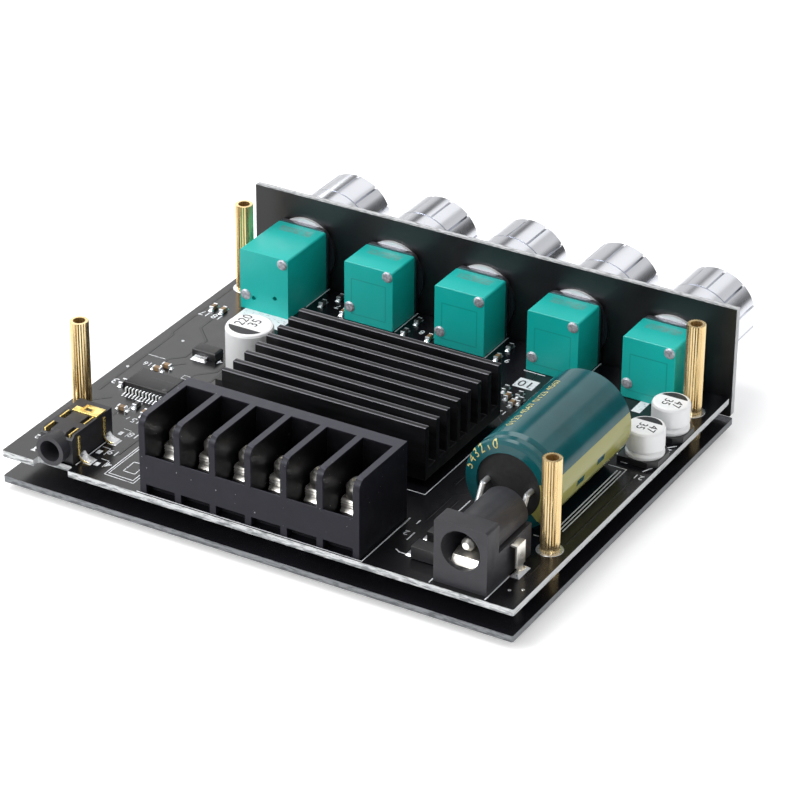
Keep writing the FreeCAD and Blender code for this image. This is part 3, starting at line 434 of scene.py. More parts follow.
def islands(node):
    """The lowest and highest corner of each separate solid of a CAD part, in metres."""
    bm = bmesh.new()
    bm.from_mesh(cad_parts[node].data)
    bmesh.ops.remove_doubles(bm, verts=bm.verts, dist=1e-6)
    left = set(bm.verts)
    boxes = []
    while left:
        front = [left.pop()]
        low = front[0].co.copy()
        high = front[0].co.copy()
        while front:
            vertex = front.pop()
            low = Vector(map(min, low, vertex.co))
            high = Vector(map(max, high, vertex.co))
            for edge in vertex.link_edges:
                other = edge.other_vert(vertex)
                if other in left:
                    left.remove(other)
                    front.append(other)
        boxes.append((low, high))
    bm.free()
    return sorted(boxes, key=lambda box: (round(box[0].y, 5), box[0].x))


def ring(bm, place, inner, outer, height):
    """A flat ring with a rounded top, sizes in millimetres."""
    profile = []
    for radius, z in ((inner, 0), (inner, height), (outer - height, height), (outer, 0)):
        profile.append(bm.verts.new(place + Vector((radius, 0, z)) / 1000))
    edges = [bm.edges.new((a, b)) for a, b in zip(profile, profile[1:])]
    bmesh.ops.spin(bm, geom=profile + edges, cent=place, axis=(0, 0, 1), angle=2 * math.pi,
                   steps=32, use_merge=True)


pads = bmesh.new()
for low, high in islands("standoffs"):
    middle = (low + high) / 2
    ring(pads, Vector((middle.x, middle.y, board_high[2])), 1.5, 2.15, 0.05)
for x, y in ((88.4, 4.5), (90.1, 5.6), (87.6, 17.4), (17.0, 19.0), (4.6, 45.0), (15.4, 46.2),
             (1.6, 33.0), (69.4, 41.0), (67.0, 37.0), (22.6, 70.8)):
    ring(pads, spot(x, y), 0.10, 0.27, 0.03)
bmesh.ops.recalc_face_normals(pads, faces=pads.faces)
new_piece("plated_rings", pads, solder_finish, slot="tinned_wire")


def cube(bm, middle, size):
    """Adds a box of a size round a middle, in metres. Gives its corners and its edges."""
    made = bmesh.ops.create_cube(bm, size=1.0, matrix=Matrix.Translation(middle)
                                 @ Matrix.Diagonal((*size, 1)))["verts"]
    return made, list({edge for vertex in made for edge in vertex.link_edges})


def mound(bm, low, high, height, slope=0.3):
    """A low heap of solder with sloping sides over a rectangle. Its corners are in metres,
    height and slope in millimetres."""
    steepest = 0.4  # as a share of the size, so that the top never closes
    size = high - low
    size.z = height / 1000
    middle = (low + high) / 2
    middle.z = low.z + size.z / 2
    made, edges = cube(bm, middle, size)
    for vertex in made:
        if vertex.co.z > middle.z:
            for axis in (0, 1):
                inward = min(slope / 1000, size[axis] * steepest)
                vertex.co[axis] -= math.copysign(inward, vertex.co[axis] - middle[axis])
    bmesh.ops.bevel(bm, geom=edges, offset=0.05 / 1000, segments=1, affect="EDGES",
                    profile=0.5, material=-1)


# Chip capacitors and resistors, the smallest parts on the board. The capacitors are tan fired
# ceramic, the resistors have a black top on a white base, and both have tinned ends that are
# soldered to pads on the board.
ceramic_finish = new_finish("fired_ceramic", "#8a6c4c", 0.45)
colour(ceramic_finish, shades(ceramic_finish, 900, "#6d533a", "#a08361"))
resistor_finish = new_finish("resistor_glaze", "#141416", 0.3)
base_top, glaze_low = 0.0072, 0.00725  # metres above the floor
colour(resistor_finish, steps(resistor_finish, place_of(resistor_finish)[2],
                              (base_top, "#d8d6d0"), (glaze_low, "#131315")))
joints = bmesh.new()


def chip_part(bm, low, high):
    """Body and two tinned ends, worked out from the solid's box, and a pad at each end."""
    size = high - low
    along = 0 if size.x > size.y else 1
    across = 1 - along
    # Start and length as shares of the whole, swell in millimetres, and which finish.
    for start, length, swell, material in ((0.16, 0.68, -0.03, 0), (0.0, 0.19, 0.0, 1),
                                           (0.81, 0.19, 0.0, 1)):
        scale = [0.0, 0.0, size.z + swell / 1000]
        scale[along] = size[along] * length
        scale[across] = size[across] + swell / 1000
        middle = (low + high) / 2
        middle[along] = low[along] + size[along] * (start + length / 2)
        middle.z = low.z + scale[2] / 2
        made, edges = cube(bm, middle, scale)
        for face in {face for vertex in made for face in vertex.link_faces}:
            face.material_index = material
        bmesh.ops.bevel(bm, geom=edges, offset=0.06 / 1000, segments=2, affect="EDGES",
                        profile=0.5, material=-1)
    inward, outward, sideways = 0.25 / 1000, 0.5 / 1000, 0.06 / 1000
    for start, end in ((low[along] - outward, low[along] + inward),
                       (high[along] - inward, high[along] + outward)):
        pad_low = low.copy()
        pad_high = high.copy()
        pad_low[along] = start
        pad_high[along] = end
        pad_low[across] -= sideways
        pad_high[across] += sideways
        mound(joints, pad_low, pad_high, 0.34)


for node, name, finish, slot in (
        ("ceramic_capacitors", "chip_capacitors_soldered", ceramic_finish, "ceramic_tan"),
        ("chip_resistors", "chip_resistors_soldered", resistor_finish, "chip_plastic")):
    chips = bmesh.new()
    for low, high in islands(node):
        chip_part(chips, low, high)
    piece = new_piece(name, chips, finish, solder_finish, slot=slot)
    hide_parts(node)


# Moulded chips: two long amplifier chips below the heatsink, a 24-lead chip at the left, a
# small three-terminal regulator and two diodes. Black epoxy bodies with tinned, formed leads
# that stand in solder.
def softened(node, name, width, *finishes, body="root", slot=None, choose=None, segments=2,
             whole_flats=True):
    """A copy of a CAD part with its sharp edges broken. choose(place) says which of the
    finishes a face takes, from the place of its middle in metres. whole_flats joins each flat
    side into one face, which a side with a recess in it doesn't stand."""
    bm = bmesh.new()
    bm.from_mesh(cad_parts[node].data)
    bmesh.ops.remove_doubles(bm, verts=bm.verts, dist=1e-6)
    if whole_flats:
        bmesh.ops.dissolve_limit(bm, angle_limit=math.radians(1.0), verts=bm.verts,
                                 edges=bm.edges)
    for face in bm.faces:
        face.smooth = len(face.verts) < 12  # a flat with more corners shades badly when smooth
        face.material_index = choose(face.calc_center_median()) if choose else 0
    piece = new_piece(name, bm, *finishes, body=body, slot=slot)
    bevel = piece.modifiers.new("broken_edges", "BEVEL")
    bevel.width = width / 1000
    bevel.segments = segments
    bevel.limit_method = "ANGLE"
    bevel.angle_limit = math.radians(40)
    bevel.harden_normals = True
    bevel.use_clamp_overlap = True
    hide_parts(node)
    return piece


epoxy_finish = new_finish("moulded_epoxy", "#1b1b1d", 0.42)
colour(epoxy_finish, shades(epoxy_finish, 400, "#17171a", "#232326"))
relief(epoxy_finish, 6000, 0.01, 0.6)
lead_finish = new_finish("tinned_leads", "#e9ebed", 0.3, 0.75)
gloss(lead_finish, 900, 0.24, 0.4)


def beyond(low, high, axis, inset):
    """Chooses the leads: faces past the moulded body along one axis, inset in millimetres."""
    return lambda place: int(place[axis] < low[axis] + inset / 1000
                             or place[axis] > high[axis] - inset / 1000)


chip_low, chip_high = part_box("decoder_chip")
softened("decoder_chip", "decoder_chip_soldered", 0.03, epoxy_finish, lead_finish,
         slot="chip_plastic", choose=beyond(chip_low, chip_high, 1, 1.39), segments=1)
diode_low, diode_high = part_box("diodes")
softened("diodes", "diodes_soldered", 0.06, epoxy_finish, lead_finish, slot="chip_plastic",
         choose=beyond(diode_low, diode_high, 0, 0.59))
regulator_low, regulator_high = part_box("voltage_regulator")
softened("voltage_regulator", "regulator_soldered", 0.05, epoxy_finish, lead_finish,
         slot="chip_plastic", choose=beyond(regulator_low, regulator_high, 1, 0.88))
dress(epoxy_finish, "amplifier_chips")
lead_pitch, pad_reach = 0.65 / 1000, Vector((0.19, 0.35, 0)) / 1000
for y in (chip_low[1], chip_high[1]):
    for index in range(12):
        x = (chip_low[0] + chip_high[0]) / 2 + (index - 5.5) * lead_pitch
        middle = Vector((x, y, board_high[2]))
        mound(joints, middle - pad_reach, middle + pad_reach, 0.12, 0.06)
pad_reach = Vector((0.7, 0.9, 0)) / 1000
for low, high in islands("diodes"):
    for x in (low.x, high.x):
        middle = Vector((x, (low.y + high.y) / 2, low.z))
        mound(joints, middle - pad_reach, middle + pad_reach, 0.3)
mound(joints, Vector((regulator_low[0] + 0.0003, regulator_low[1] - 0.0004, board_high[2])),
      Vector((regulator_low[0] + 0.0033, regulator_low[1] + 0.0005, board_high[2])), 0.3)

dimple = bmesh.new()
lift = 0.00001  # metres that flat marks lie above what they are on
marked_z = chip_high[2] + lift
bmesh.ops.create_circle(dimple, cap_ends=True, segments=20, radius=0.38 / 1000,
                        matrix=Matrix.Translation((chip_high[0] - 0.0010, chip_low[1] + 0.0020,
                                                   marked_z)))
dimple_finish = new_finish("moulded_dimple", "#0c0c0d", 0.25)
gloss(dimple_finish, 900, 0.2, 0.32)
new_piece("pin_one_dimple", dimple, dimple_finish, slot="chip_plastic")
chip_row = bmesh.new()
for index in range(12):
    middle = spot(9.15 + 0.45 * index, 29.0)
    middle.z = marked_z
    bmesh.ops.create_grid(chip_row, x_segments=1, y_segments=1, size=0.5, matrix=(
        Matrix.Translation(middle) @ Matrix.Diagonal((0.00022, 0.00012, 1, 1))))
faded_finish = new_finish("faded_marking", "#5a5a60", 0.5)
colour(faded_finish, shades(faded_finish, 4000, "#3c3c41", "#6c6c72"))
new_piece("chip_marking", chip_row, faded_finish, slot="chip_plastic")


# The small socket for a headphone-size plug, moulded in black nylon with a round nose through
# the notch in the board's edge. Its gold-plated springs show in the slots and its tinned tabs
# are soldered to the board.
nylon_finish = new_finish("black_nylon", "#2c2c31", 0.5)
colour(nylon_finish, shades(nylon_finish, 500, "#25252a", "#2d2d33"))
relief(nylon_finish, 3000, 0.008, 0.4)
gold_finish = new_finish("gold_plate", "#f8dc8a", 0.26, 0.85)
gloss(gold_finish, 1200, 0.18, 0.34)
softened("input_socket_housing", "input_socket_moulding", 0.12, nylon_finish,
         slot="socket_plastic", segments=3)
socket_middle, tab_top = spot(9.25, 0)[0], board_high[2] + 0.0012
softened("input_socket_contacts", "input_socket_springs", 0.05, gold_finish, lead_finish,
         slot="gold", choose=lambda place: int(place.z < tab_top))
pad_length, pad_past, pad_beside = 0.0017, 0.0003, 0.0002
for low, high in islands("input_socket_contacts"):
    if low.z < board_high[2] + 0.0002:
        left = low.x < socket_middle
        start = low.x - pad_past if left else high.x + pad_past - pad_length
        mound(joints, Vector((start, low.y - pad_beside, board_high[2])),
              Vector((start + pad_length, high.y + pad_beside, board_high[2])), 0.16)


# The six-way barrier terminal for the speaker wires, moulded in one piece of black plastic.
# Edges are slightly broken, with a few pale specks of flash from the mould. Faces that look up
# are painted lighter, as painted light from above, and the insides of the bays are painted
# near black, as painted shade.
moulding_finish = new_finish("terminal_moulding", "#1c1c20", 0.42)
outer_skin = (0.0005, 0.0008, 0.0003)  # metres that don't count as the inside of the bays
# The insides of the bays are painted near black: painted shade.
painted_bay_shade = product(moulding_finish, *[
    window(moulding_finish, value, low + skin, high - skin) for value, low, high, skin in zip(
        place_of(moulding_finish), *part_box("terminal_block"), outer_skin)])
# Faces that look up are painted lighter: painted light from above.
painted_top_light = above(moulding_finish, place_of(moulding_finish, "Normal")[2], 0.9)
base = shades(moulding_finish, 260, "#101015", "#16161c")
base = layered(moulding_finish, painted_top_light, base, "#3d3d45")
base = layered(moulding_finish, painted_bay_shade, base, "#050507")
flash = above(moulding_finish, speckle(moulding_finish, 1900, 1.0), 0.79)
colour(moulding_finish, layered(moulding_finish, flash, base, "#8a8a8e"))
gloss(moulding_finish, 700, 0.38, 0.48)
relief(moulding_finish, 1600, 0.012, 0.4)
inlet(moulding_finish, "Specular IOR Level").default_value = 0.3
inlet(moulding_finish, "Specular Tint").default_value = (0.85, 0.85, 1, 1)
softened("terminal_block", "terminal_moulding", 0.14, moulding_finish, slot="terminal_plastic",
         segments=3)


# Contacts, clamp plates and screws of the terminal are zinc and nickel plated steel, bright
# where they were stamped, with fine drawn lines. Each screw lifts with its clamp and turns.
plate_metal = new_finish("bright_plate", "#f9f6ee", 0.3, 0.92)
gloss(plate_metal, 700, 0.26, 0.36, stretch=(1, 4, 1))
softened("terminal_contacts", "terminal_contact_plates", 0.06, plate_metal,
         slot="plated_metal")
for way in range(1, 7):
    softened("terminal_clamp_%d" % way, "clamp_plate_%d" % way, 0.04, plate_metal,
             body="clamp_%d" % way, slot="plated_metal")
    softened("terminal_screw_%d" % way, "clamp_screw_%d" % way, 0.05, plate_metal,
             body="screw_%d" % way, slot="plated_metal", whole_flats=False)


# The barrel power socket: a black moulding with a square face, a turned pin in the middle of
# its hole and a sprung leaf below. A tinned tab comes out of the side and is soldered down.
softened("power_socket_housing", "power_socket_moulding", 0.16, nylon_finish,
         slot="socket_plastic", segments=3)
softened("power_socket_contacts", "power_socket_springs", 0.06, plate_metal,
         slot="plated_metal")
dress(plate_metal, "power_socket_pin")
for low, high in islands("power_socket_contacts"):
    if low.x > spot(85, 0)[0]:
        mound(joints, Vector((high.x - 0.0010, low.y - 0.0006, board_high[2])),
              Vector((high.x + 0.0007, high.y + 0.0006, board_high[2])), 0.5, 0.5)


# The heatsink, extruded aluminium with eight fins, anodised black. Pale grey is painted along
# the top edges of the fins as a painted highlight.
def repeated(finish, value, middle, pitch):
    """How far a value is from the nearest of the middles that repeat at a pitch."""
    past = calculate(finish, "SUBTRACT", value, middle)
    return calculate(finish, "WRAP", past, pitch / 2, -pitch / 2)


sink_finish = new_finish("black_anodised", "#151517", 0.42, 0.35)
sink_low, sink_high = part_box("heatsink")
# In metres: the painted highlight on a fin starts so far past its middle, and reaches so far down
# from its top.
fin_pitch, fin_half, highlight_from, highlight_depth = 0.00333, 0.00055, 0.00031, 0.0004
place = place_of(sink_finish)
from_middle = calculate(sink_finish, "ABSOLUTE", repeated(
    sink_finish, place[1], sink_low[1] + fin_half, fin_pitch))
# The top edges of the fins are painted pale grey: a painted highlight.
painted_fin_highlight = product(sink_finish, above(sink_finish, from_middle, highlight_from),
               above(sink_finish, place[2], sink_high[2] - highlight_depth),
               above(sink_finish, place_of(sink_finish, "Normal")[2], 0.3))
black = shades(sink_finish, 900, "#0d0d0f", "#1f1f23", 0.35, 0.75,
               detail=4.0, stretch=(0.15, 1, 1))
colour(sink_finish, layered(sink_finish, painted_fin_highlight, black, "#6c6c72"))
gloss(sink_finish, 400, 0.3, 0.46, stretch=(0.2, 1, 1))
relief(sink_finish, 5000, 0.012, 0.6, stretch=(0.1, 1, 1))
inlet(sink_finish, "Specular IOR Level").default_value = 0.35
softened("heatsink", "heatsink_extrusion", 0.12, sink_finish, slot="heatsink_black", segments=3)
pad_finish = new_finish("soft_pad", "#8d9096", 0.8)
relief(pad_finish, 2500, 0.04, 0.8)
dress(pad_finish, "thermal_pads")


# The large electrolytic capacitor lies on its side in a shrunk sleeve of dark teal plastic,
# printed with pale numerals and a broad stripe that marks the negative lead. The sleeve stops
# short of the far end, where the aluminium can shows its stamped vent.
can_low, can_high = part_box("main_capacitor")
axis_x = (can_low[0] + can_high[0]) / 2
axis_z = (can_low[2] + can_high[2]) / 2
sleeve_finish = new_finish("teal_sleeve", "#12545a", 0.14)
mark_reach, mark_turn = 1.2, 0.07  # half the length in millimetres, half the width in radians
hem_radius = 0.0061  # where the shrunk sleeve ends on the flat far end of the can
place = place_of(sleeve_finish)


def from_axis(finish, first, second):
    """The length of the line whose two parts at right angles are given."""
    squares = [product(finish, value, value) for value in (first, second)]
    return calculate(finish, "SQRT", calculate(finish, "ADD", *squares))


off_x = calculate(sleeve_finish, "SUBTRACT", place[0], axis_x)
off_z = calculate(sleeve_finish, "SUBTRACT", place[2], axis_z)
angle = calculate(sleeve_finish, "ARCTAN2", off_z, off_x)
teal = shades(sleeve_finish, 120, "#0c4a50", "#115c62")
stripe = window(sleeve_finish, angle, -0.75, 0.31)
sleeve_colour = layered(sleeve_finish, stripe, teal, "#a09f58")
for y, turn in ((28.5, -0.19), (35.1, -0.13)):
    ends = spot(0, y - mark_reach)[1], spot(0, y + mark_reach)[1]
    mark = product(sleeve_finish, window(sleeve_finish, place[1], *ends),
                   window(sleeve_finish, angle, turn - mark_turn, turn + mark_turn))
    sleeve_colour = layered(sleeve_finish, mark, sleeve_colour, "#0f4c52")
bare = product(sleeve_finish, above(sleeve_finish, place[1], can_low[1] + 0.02), calculate(
    sleeve_finish, "LESS_THAN", from_axis(sleeve_finish, off_x, off_z), hem_radius))
colour(sleeve_finish, layered(sleeve_finish, bare, sleeve_colour, "#b9bbbd"))
feed(sleeve_finish, inlet(sleeve_finish, "Metallic"), bare)
relief(sleeve_finish, 350, 0.05, 0.35, detail=2.0)
dress(sleeve_finish, "main_capacitor")

sleeve_skin = bmesh.new()
sleeve_skin.from_mesh(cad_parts["main_capacitor"].data)
sleeve_tree = BVHTree.FromBMesh(sleeve_skin)
sleeve_skin.free()
sleeve_print = bmesh.new()


def laid_on_sleeve(text, height, locate):
    """Lays a numeral on the sleeve. locate gives a place off it and the way towards it."""
    thickness = 0.00004
    flat = numeral(text, height, 0.0)
    letters = bmesh.new()
    letters.from_mesh(flat)
    bpy.data.meshes.remove(flat)
    bmesh.ops.subdivide_edges(letters, edges=letters.edges, cuts=1)
    for vertex in letters.verts:
        start, way = locate(vertex.co)
        vertex.co = sleeve_tree.ray_cast(start, way)[0] - way * thickness
    flat = to_mesh(letters, "numeral")
    sleeve_print.from_mesh(flat)
    bpy.data.meshes.remove(flat)


def beside_axis(turn, distance, y):
    return Vector((axis_x + distance * math.cos(turn), y, axis_z + distance * math.sin(turn)))


# Where the numerals stand: how far round, in radians, and how far from the axis, in metres.
print_turn, sleeve_radius, end_print_radius = 1.96, 0.0077, 0.0069


def along_sleeve(place):
    turn = print_turn + place.y / sleeve_radius
    y = (can_low[1] + can_high[1]) / 2 + place.x
    return beside_axis(turn, 0.012, y), beside_axis(turn, -1.0, 0) - beside_axis(turn, 0.0, 0)


laid_on_sleeve("0123 4567 0123 4567", 1.35, along_sleeve)
for text, degrees in zip("012345", (110, 121, 133, 144, 155, 166)):
    def round_the_end(place, turn=math.radians(degrees)):
        turn -= place.x / end_print_radius
        start = beside_axis(turn, end_print_radius + place.y, can_low[1] - 0.003)
        return start, Vector((0, 1, 0))

    laid_on_sleeve(text, 1.45, round_the_end)
gold_ink = new_finish("gold_ink", "#cfc67c", 0.42)
colour(gold_ink, shades(gold_ink, 2500, "#b3a963", "#dbd28c", end=0.6))
new_piece("sleeve_numerals", sleeve_print, gold_ink, slot="capacitor_sleeve")

rubber_finish = new_finish("black_rubber", "#161618", 0.62)
colour(rubber_finish, shades(rubber_finish, 1500, "#111113", "#1d1d1f"))
relief(rubber_finish, 2500, 0.03, 0.7)
dress(rubber_finish, "main_capacitor_bung")
dress(lead_finish, "main_capacitor_leads")


# Three can capacitors on chamfered black bases. The drawn aluminium is satin, the top carries
# a dark segment over the negative side and its plain values in dark ink.
can_finish = new_finish("drawn_aluminium", "#f3f4f5", 0.36)
on_top = above(can_finish, place_of(can_finish, "Normal")[2], 0.9)
feed(can_finish, inlet(can_finish, "Metallic"),
     calculate(can_finish, "MULTIPLY_ADD", on_top, -0.18, 0.2))
gloss(can_finish, 500, 0.28, 0.42, stretch=(1, 1, 0.1))
relief(can_finish, 3500, 0.01, 0.5, detail=2.0, stretch=(1, 1, 0.08))
dress(can_finish, "tall_capacitor", "small_capacitors")
dress(epoxy_finish, "capacitor_bases")
can_print = bmesh.new()


def can_top(low, high, values, turn, size):
    """The dark segment and the values on one can. The values read square to the segment."""
    rim, cut_share = 0.0006, 0.42  # metres, and how far from the middle the segment starts
    top = (low + high) / 2
    top.z = high.z
    radius = (high.x - low.x) / 2 - rim
    disc = bmesh.ops.create_circle(
        can_print, cap_ends=True, segments=48, radius=radius,
        matrix=Matrix.Translation(top + Vector((0, 0, lift))))["verts"]
    turned = Matrix.Rotation(math.radians(turn), 3, "Z")
    facing = turned @ Vector((0, -1, 0))
    cut = top + facing * radius * cut_share
    faces = list({face for vertex in disc for face in vertex.link_faces})
    edges = list({edge for vertex in disc for edge in vertex.link_edges})
    bmesh.ops.bisect_plane(can_print, geom=disc + edges + faces, plane_co=cut,
                           plane_no=facing, clear_inner=True)
    for row, text in enumerate(values):
        offset = turned @ Vector((row * 1.2 - 0.9, 0.5, 0)) * size
        x, y, z = (top - corner) * 1000 + offset
        printed(can_print, text, x, y, z + 0.012, size, turn + 90, thickness=0.01)


tall_low, tall_high = (Vector(c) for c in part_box("tall_capacitor"))
can_top(tall_low, tall_high, ("220", "35"), 0.0, 1.8)
for low, high in islands("small_capacitors"):
    can_top(low, high, ("47", "35"), 180.0, 1.5)
new_piece("can_prints", can_print, dark_ink, slot="can_aluminium")


# The bodies of the five controls, moulded in teal plastic and held by small rivets. The first
# is deeper, because it also holds the switch of the volume control.
teal_finish = new_finish("teal_moulding", "#0fb6ae", 0.34)
body_low, body_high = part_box("potentiometer_2")
shaft_x = (body_low[0] + body_high[0]) / 2
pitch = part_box("potentiometer_3")[0][0] - body_low[0]
# A seam runs round a square on the near side, and worn print lies across the top, in metres.
square_z, square_half, seam_half = board_high[2] + 0.0048, 0.0033, 0.00009
print_half, print_near, print_far = 0.0031, body_high[1] - 0.0030, body_high[1] - 0.0012
place = place_of(teal_finish)
normal = place_of(teal_finish, "Normal")
across = repeated(teal_finish, place[0], shaft_x, pitch)
upward = calculate(teal_finish, "SUBTRACT", place[2], square_z)
square = calculate(teal_finish, "MAXIMUM", *[
    calculate(teal_finish, "ABSOLUTE", value) for value in (across, upward)])
seam = product(teal_finish,
               window(teal_finish, square, square_half - seam_half, square_half + seam_half),
               calculate(teal_finish, "LESS_THAN", normal[1], -0.8),
               above(teal_finish, place[1], body_low[1] - 0.0002))
smudge = product(teal_finish, window(teal_finish, place[1], print_near, print_far),
                 window(teal_finish, across, -print_half, print_half),
                 above(teal_finish, normal[2], 0.9),
                 between(teal_finish, speckle(teal_finish, 1400), 0.0, 0.75))
plain = layered(teal_finish, smudge, shades(teal_finish, 90, "#0ab0a8", "#12bab2"), "#6f8f88")
colour(teal_finish, layered(teal_finish, seam, plain, "#0d9c94"))
gloss(teal_finish, 500, 0.28, 0.42)
relief(teal_finish, 2200, 0.02, 0.35)
for number in range(1, 6):
    softened("potentiometer_%d" % number, "control_body_%d" % number, 0.16, teal_finish,
             slot="pot_teal", segments=3)
rivet_finish = new_finish("rivet_steel", "#b9bcc4", 0.45, 0.5)
colour(rivet_finish, shades(rivet_finish, 2500, "#93969e", "#c6c9d0", 0.35, 0.6))
dress(rivet_finish, "rivets")
dress(lead_finish, "potentiometer_pins")


# The bushings that carry the shafts, their washers and nuts: die-cast and plated. The nuts are
# bright; the washers are bright round the shaft and painted dark further out, as painted
# shade. The threads of the bushings, 0.75 mm apart, only show beyond the panel.
cast_finish = new_finish("cast_bushing", "#77777e", 0.36, 1.0)
gloss(cast_finish, 900, 0.28, 0.46)
thread_waves = 8378  # radians a metre, which is a pitch of 0.75 mm
place = place_of(cast_finish)
threads = product(cast_finish, above(cast_finish, place[1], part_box("front_panel")[1][1]),
                  calculate(cast_finish, "SINE", product(cast_finish, place[1], thread_waves)))
relief(cast_finish, threads, 0.12, 0.6)
dress(cast_finish, "bushings")
steel_finish = new_finish("zinc_steel", "#d6d7da", 0.24, 1.0)
gloss(steel_finish, 1200, 0.16, 0.36)
dress(steel_finish, "bushing_nuts", "stack_screws", "heatsink_screws")
washer_finish = new_finish("zinc_washer", "#e6e7ea", 0.35, 0.4)
ring_low, ring_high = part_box("washers")
bright_radius, bright_half = 0.0061, 0.0036  # metres from the shaft, all round and sideways
place = place_of(washer_finish)
across = repeated(washer_finish, place[0], shaft_x, pitch)
upright = calculate(washer_finish, "SUBTRACT", place[2], (ring_low[2] + ring_high[2]) / 2)
# Outside this bright middle each washer is painted dark grey: painted shade.
bright_middle = product(washer_finish, window(washer_finish, across, -bright_half, bright_half),
                  calculate(washer_finish, "LESS_THAN",
                            from_axis(washer_finish, across, upright), bright_radius))
colour(washer_finish, layered(washer_finish, bright_middle, "#2e2e34", "#e6e7ea"))
gloss(washer_finish, 1200, 0.28, 0.4)
dress(washer_finish, "washers")


# Five knobs of moulded plastic with bright chrome plating: a smooth skirt, a turned groove and
# a round grip with twelve fine flutes and a dished face. They push on to flatted brass shafts.
chrome_finish = new_finish("chrome", "#e0e2e8", 0.17, 1.0)
gloss(chrome_finish, 60, 0.14, 0.21)
relief(chrome_finish, 40, 0.03, 0.12)
grip_radius, grip_start, flute_depth = 0.0073, 0.0074, 0.05  # the depth as a share of the radius
skirt_profile = (  # distance from the axis and from the open end, in millimetres
    (3.0, 4.5), (5.7, 4.5), (5.7, 0), (7.2, 0), (7.4, 0.2), (7.4, 7.0), (7.3, 7.15),
    (7.1, 7.15), (7.1, 7.45))
for number, flute_start in zip(range(1, 6), (0.8, 0.5, 0.2, 0.9, 0.6)):
    node = "knob_%d" % number
    knob_low, knob_high = (Vector(c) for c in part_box(node))
    axis = (knob_low + knob_high) / 2
    knob = bmesh.new()
    grip = bmesh.ops.create_circle(
        knob, cap_ends=True, segments=240, radius=grip_radius,
        matrix=Matrix.Translation((axis.x, knob_low.y + grip_start, axis.z))
        @ Matrix.Rotation(math.radians(90), 4, "X"))["verts"]
    for vertex in grip:
        flute = math.degrees(math.atan2(vertex.co.z - axis.z, vertex.co.x - axis.x)) / 30
        flute -= flute_start
        if abs(flute - round(flute)) < 0.01:
            vertex.co.x += (axis.x - vertex.co.x) * flute_depth
            vertex.co.z += (axis.z - vertex.co.z) * flute_depth
    face = bottom = knob.faces[:][0]
    length = knob_high.y - knob_low.y - grip_start
    # Up to the far edge, round it, in to the dish and down into the dish.
    for shift, scale in ((length - 0.0005, 1.0), (0.0005, 0.93), (0.0, 0.82), (-0.0004, 1.0)):
        grown = bmesh.ops.extrude_face_region(knob, geom=[face])["geom"]
        if face != bottom:
            knob.faces.remove(face)
        for part in grown:
            if isinstance(part, bmesh.types.BMVert):
                part.co.x = axis.x + (part.co.x - axis.x) * scale
                part.co.z = axis.z + (part.co.z - axis.z) * scale
                part.co.y += shift
        face = next(part for part in grown if isinstance(part, bmesh.types.BMFace))
    profile = [knob.verts.new((axis.x + r / 1000, knob_low.y + y / 1000, axis.z))
               for r, y in skirt_profile]
    lines = [knob.edges.new(pair) for pair in zip(profile, profile[1:])]
    bmesh.ops.spin(knob, geom=profile + lines, cent=axis, axis=(0, 1, 0), angle=2 * math.pi,
                   steps=96, use_merge=True)
    bmesh.ops.recalc_face_normals(knob, faces=knob.faces)
    for face in knob.faces:
        face.smooth = True
    for edge in knob.edges:
        edge.smooth = edge.calc_face_angle(0.0) < 0.5
    piece = new_piece("chrome_" + node, knob, chrome_finish, body="control_%d" % number,
                      slot="chrome")
    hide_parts(node)
brass_finish = new_finish("turned_brass", "#e6cb96", 0.26, 0.9)
colour(brass_finish, shades(brass_finish, 300, "#dcbd84", "#efd8a8", stretch=(1, 1, 0.3)))
gloss(brass_finish, 800, 0.16, 0.34, stretch=(1, 1, 0.2))
relief(brass_finish, 2500, 0.01, 0.5, detail=2.0, stretch=(1, 1, 0.1))
dress(brass_finish, *["shaft_%d" % number for number in range(1, 6)])


# Brass spacers hold the boards apart, and straight-knurled brass standoffs above them wait
# for a cover. Both are turned and left unplated.
dress(brass_finish, "standoffs", "spacers")


# The solder on the board, all of it bright and slightly uneven.
new_piece("solder_joints", joints, solder_finish, slot="tinned_wire")


# A plain pale floor and four lamps: a soft one overhead and to the left, a smaller one at the
# left front, one that only shows in reflections and a small one beside the panel. The studio
# round them is white low down and a little dimmer above.
floor_mesh = bmesh.new()
bmesh.ops.create_grid(floor_mesh, x_segments=1, y_segments=1, size=6.0)
floor = bpy.data.objects.new("floor", to_mesh(floor_mesh, "floor"))
bpy.context.scene.collection.objects.link(floor)
floor_finish = new_finish("pale_floor", "#f4f4f5", 0.9)


def seen_by(finish, *kinds):
    """1 for rays of the kinds that are named, otherwise 0."""
    rays = finish.node_tree.nodes.new("ShaderNodeLightPath").outputs
    seen = 0.0
    for kind in kinds:
        seen = calculate(finish, "MAXIMUM", seen, rays["Is %s Ray" % kind])
    return seen


floor_glow = 0.36  # it shows to the camera and in reflections, and lights nothing
seen = seen_by(floor_finish, "Camera", "Glossy", "Transmission")
feed(floor_finish, inlet(floor_finish, "Emission Strength"),
     product(floor_finish, seen, floor_glow))
inlet(floor_finish, "Emission Color").default_value = (1, 1, 1, 1)
floor.data.materials.append(floor_finish)

world = bpy.data.worlds.new("studio")
bpy.context.scene.world = world
world.use_nodes = True


def rising(value, start, end):
    """Goes smoothly from 0 at the start to 1 at the end."""
    node = world.node_tree.nodes.new("ShaderNodeMapRange")
    node.interpolation_type = "SMOOTHSTEP"
    for socket, entry in zip(node.inputs, (value, start, end)):
        feed(world, socket, entry)
    return node.outputs[0]


def band(value, low, high, soft):
    """1 between low and high, with soft edges, otherwise 0."""
    return product(world, rising(value, low - soft, low + soft),
                   calculate(world, "SUBTRACT", 1.0, rising(value, high - soft, high + soft)))


# How far a direction of the sky rises, and how far it turns from the far side to the right.
direction = place_of(world, "Generated")
rise = calculate(world, "ARCSINE", direction[2])
round_about = calculate(world, "ARCTAN2", direction[0], direction[1])
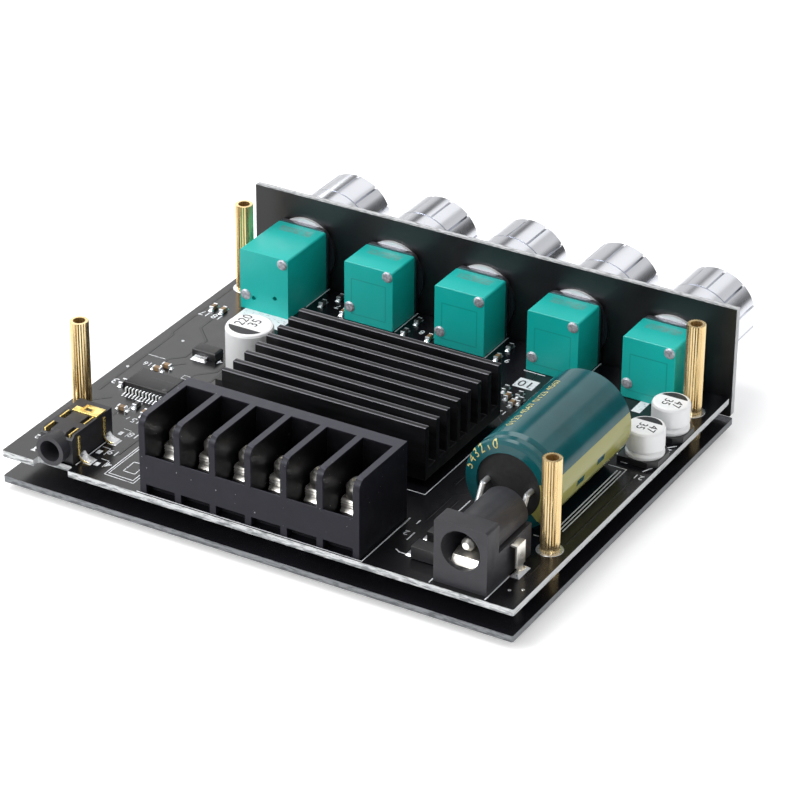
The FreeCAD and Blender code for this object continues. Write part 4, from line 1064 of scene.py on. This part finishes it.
# A dark gap over the backdrop at the back left is what the boards reflect, and a dark stand
# at the back right shows as a band on the knobs. A window between the two lights the knobs
# and the sleeve of the capacitor.
glow = calculate(world, "MULTIPLY_ADD", rising(rise, 0.45, 0.75), -0.25, 0.95)
gap = product(world, band(rise, 0.43, 0.60, 0.05), band(round_about, -0.80, -0.38, 0.05))
window_light = product(world, band(rise, 0.57, 0.82, 0.04), band(round_about, -0.40, 0.24, 0.04))
stand = product(world, band(rise, 0.03, 0.44, 0.03), band(round_about, 0.56, 0.86, 0.04))
dark = calculate(world, "MAXIMUM", product(world, gap, 0.86), stand)
glow = product(world, glow, calculate(world, "MULTIPLY_ADD", dark, -0.97, 1.0), 0.8)
glow = calculate(world, "MULTIPLY_ADD", window_light, 0.6, glow)
plain = seen_by(world, "Camera", "Transmission")
background = world.node_tree.nodes["Background"]
feed(world, background.inputs["Strength"], calculate(world, "MAXIMUM", plain, glow))
background.inputs["Color"].default_value = (1, 1, 1, 1)


def lamp(name, place, target, size, power):
    """A soft rectangular lamp that faces its target and doesn't show itself."""
    light = bpy.data.lights.new(name, "AREA")
    light.shape = "RECTANGLE"
    light.size, light.size_y = size
    light.energy = power
    holder = bpy.data.objects.new(name, light)
    bpy.context.scene.collection.objects.link(holder)
    holder.location = place
    holder.visible_camera = False
    holder.rotation_euler = (Vector(target) - Vector(place)).to_track_quat("-Z", "Y").to_euler()
    return holder


lamp("overhead", (-0.22, -0.05, 0.60), (0, 0, 0), (0.50, 0.40), 2.1)
lamp("left_front", (-0.45, -0.50, 0.35), (0, 0, 0.01), (0.30, 0.30), 2.2)
glint = lamp("glint_card", (-0.163, -0.53, 0.56), (0, -0.04, 0.01), (0.12, 0.12), 3.0)
glint.visible_diffuse = False
lamp("left_card", (-0.155, 0.140, 0.115), (-0.03, -0.02, 0), (0.09, 0.08), 0.035)

camera = bpy.data.cameras.new("camera")
camera.lens = 155.686
camera.sensor_width = 36.0
camera.clip_start = 0.01
camera_holder = bpy.data.objects.new("camera", camera)
bpy.context.scene.collection.objects.link(camera_holder)
camera_holder.location = (0.242703, -0.423460, 0.280518)
camera_holder.rotation_euler = (1.0603650, -0.0063559, 0.5235835)
bpy.context.scene.camera = camera_holder
bpy.context.scene.view_settings.view_transform = "Standard"

bpy.context.view_layer.update()
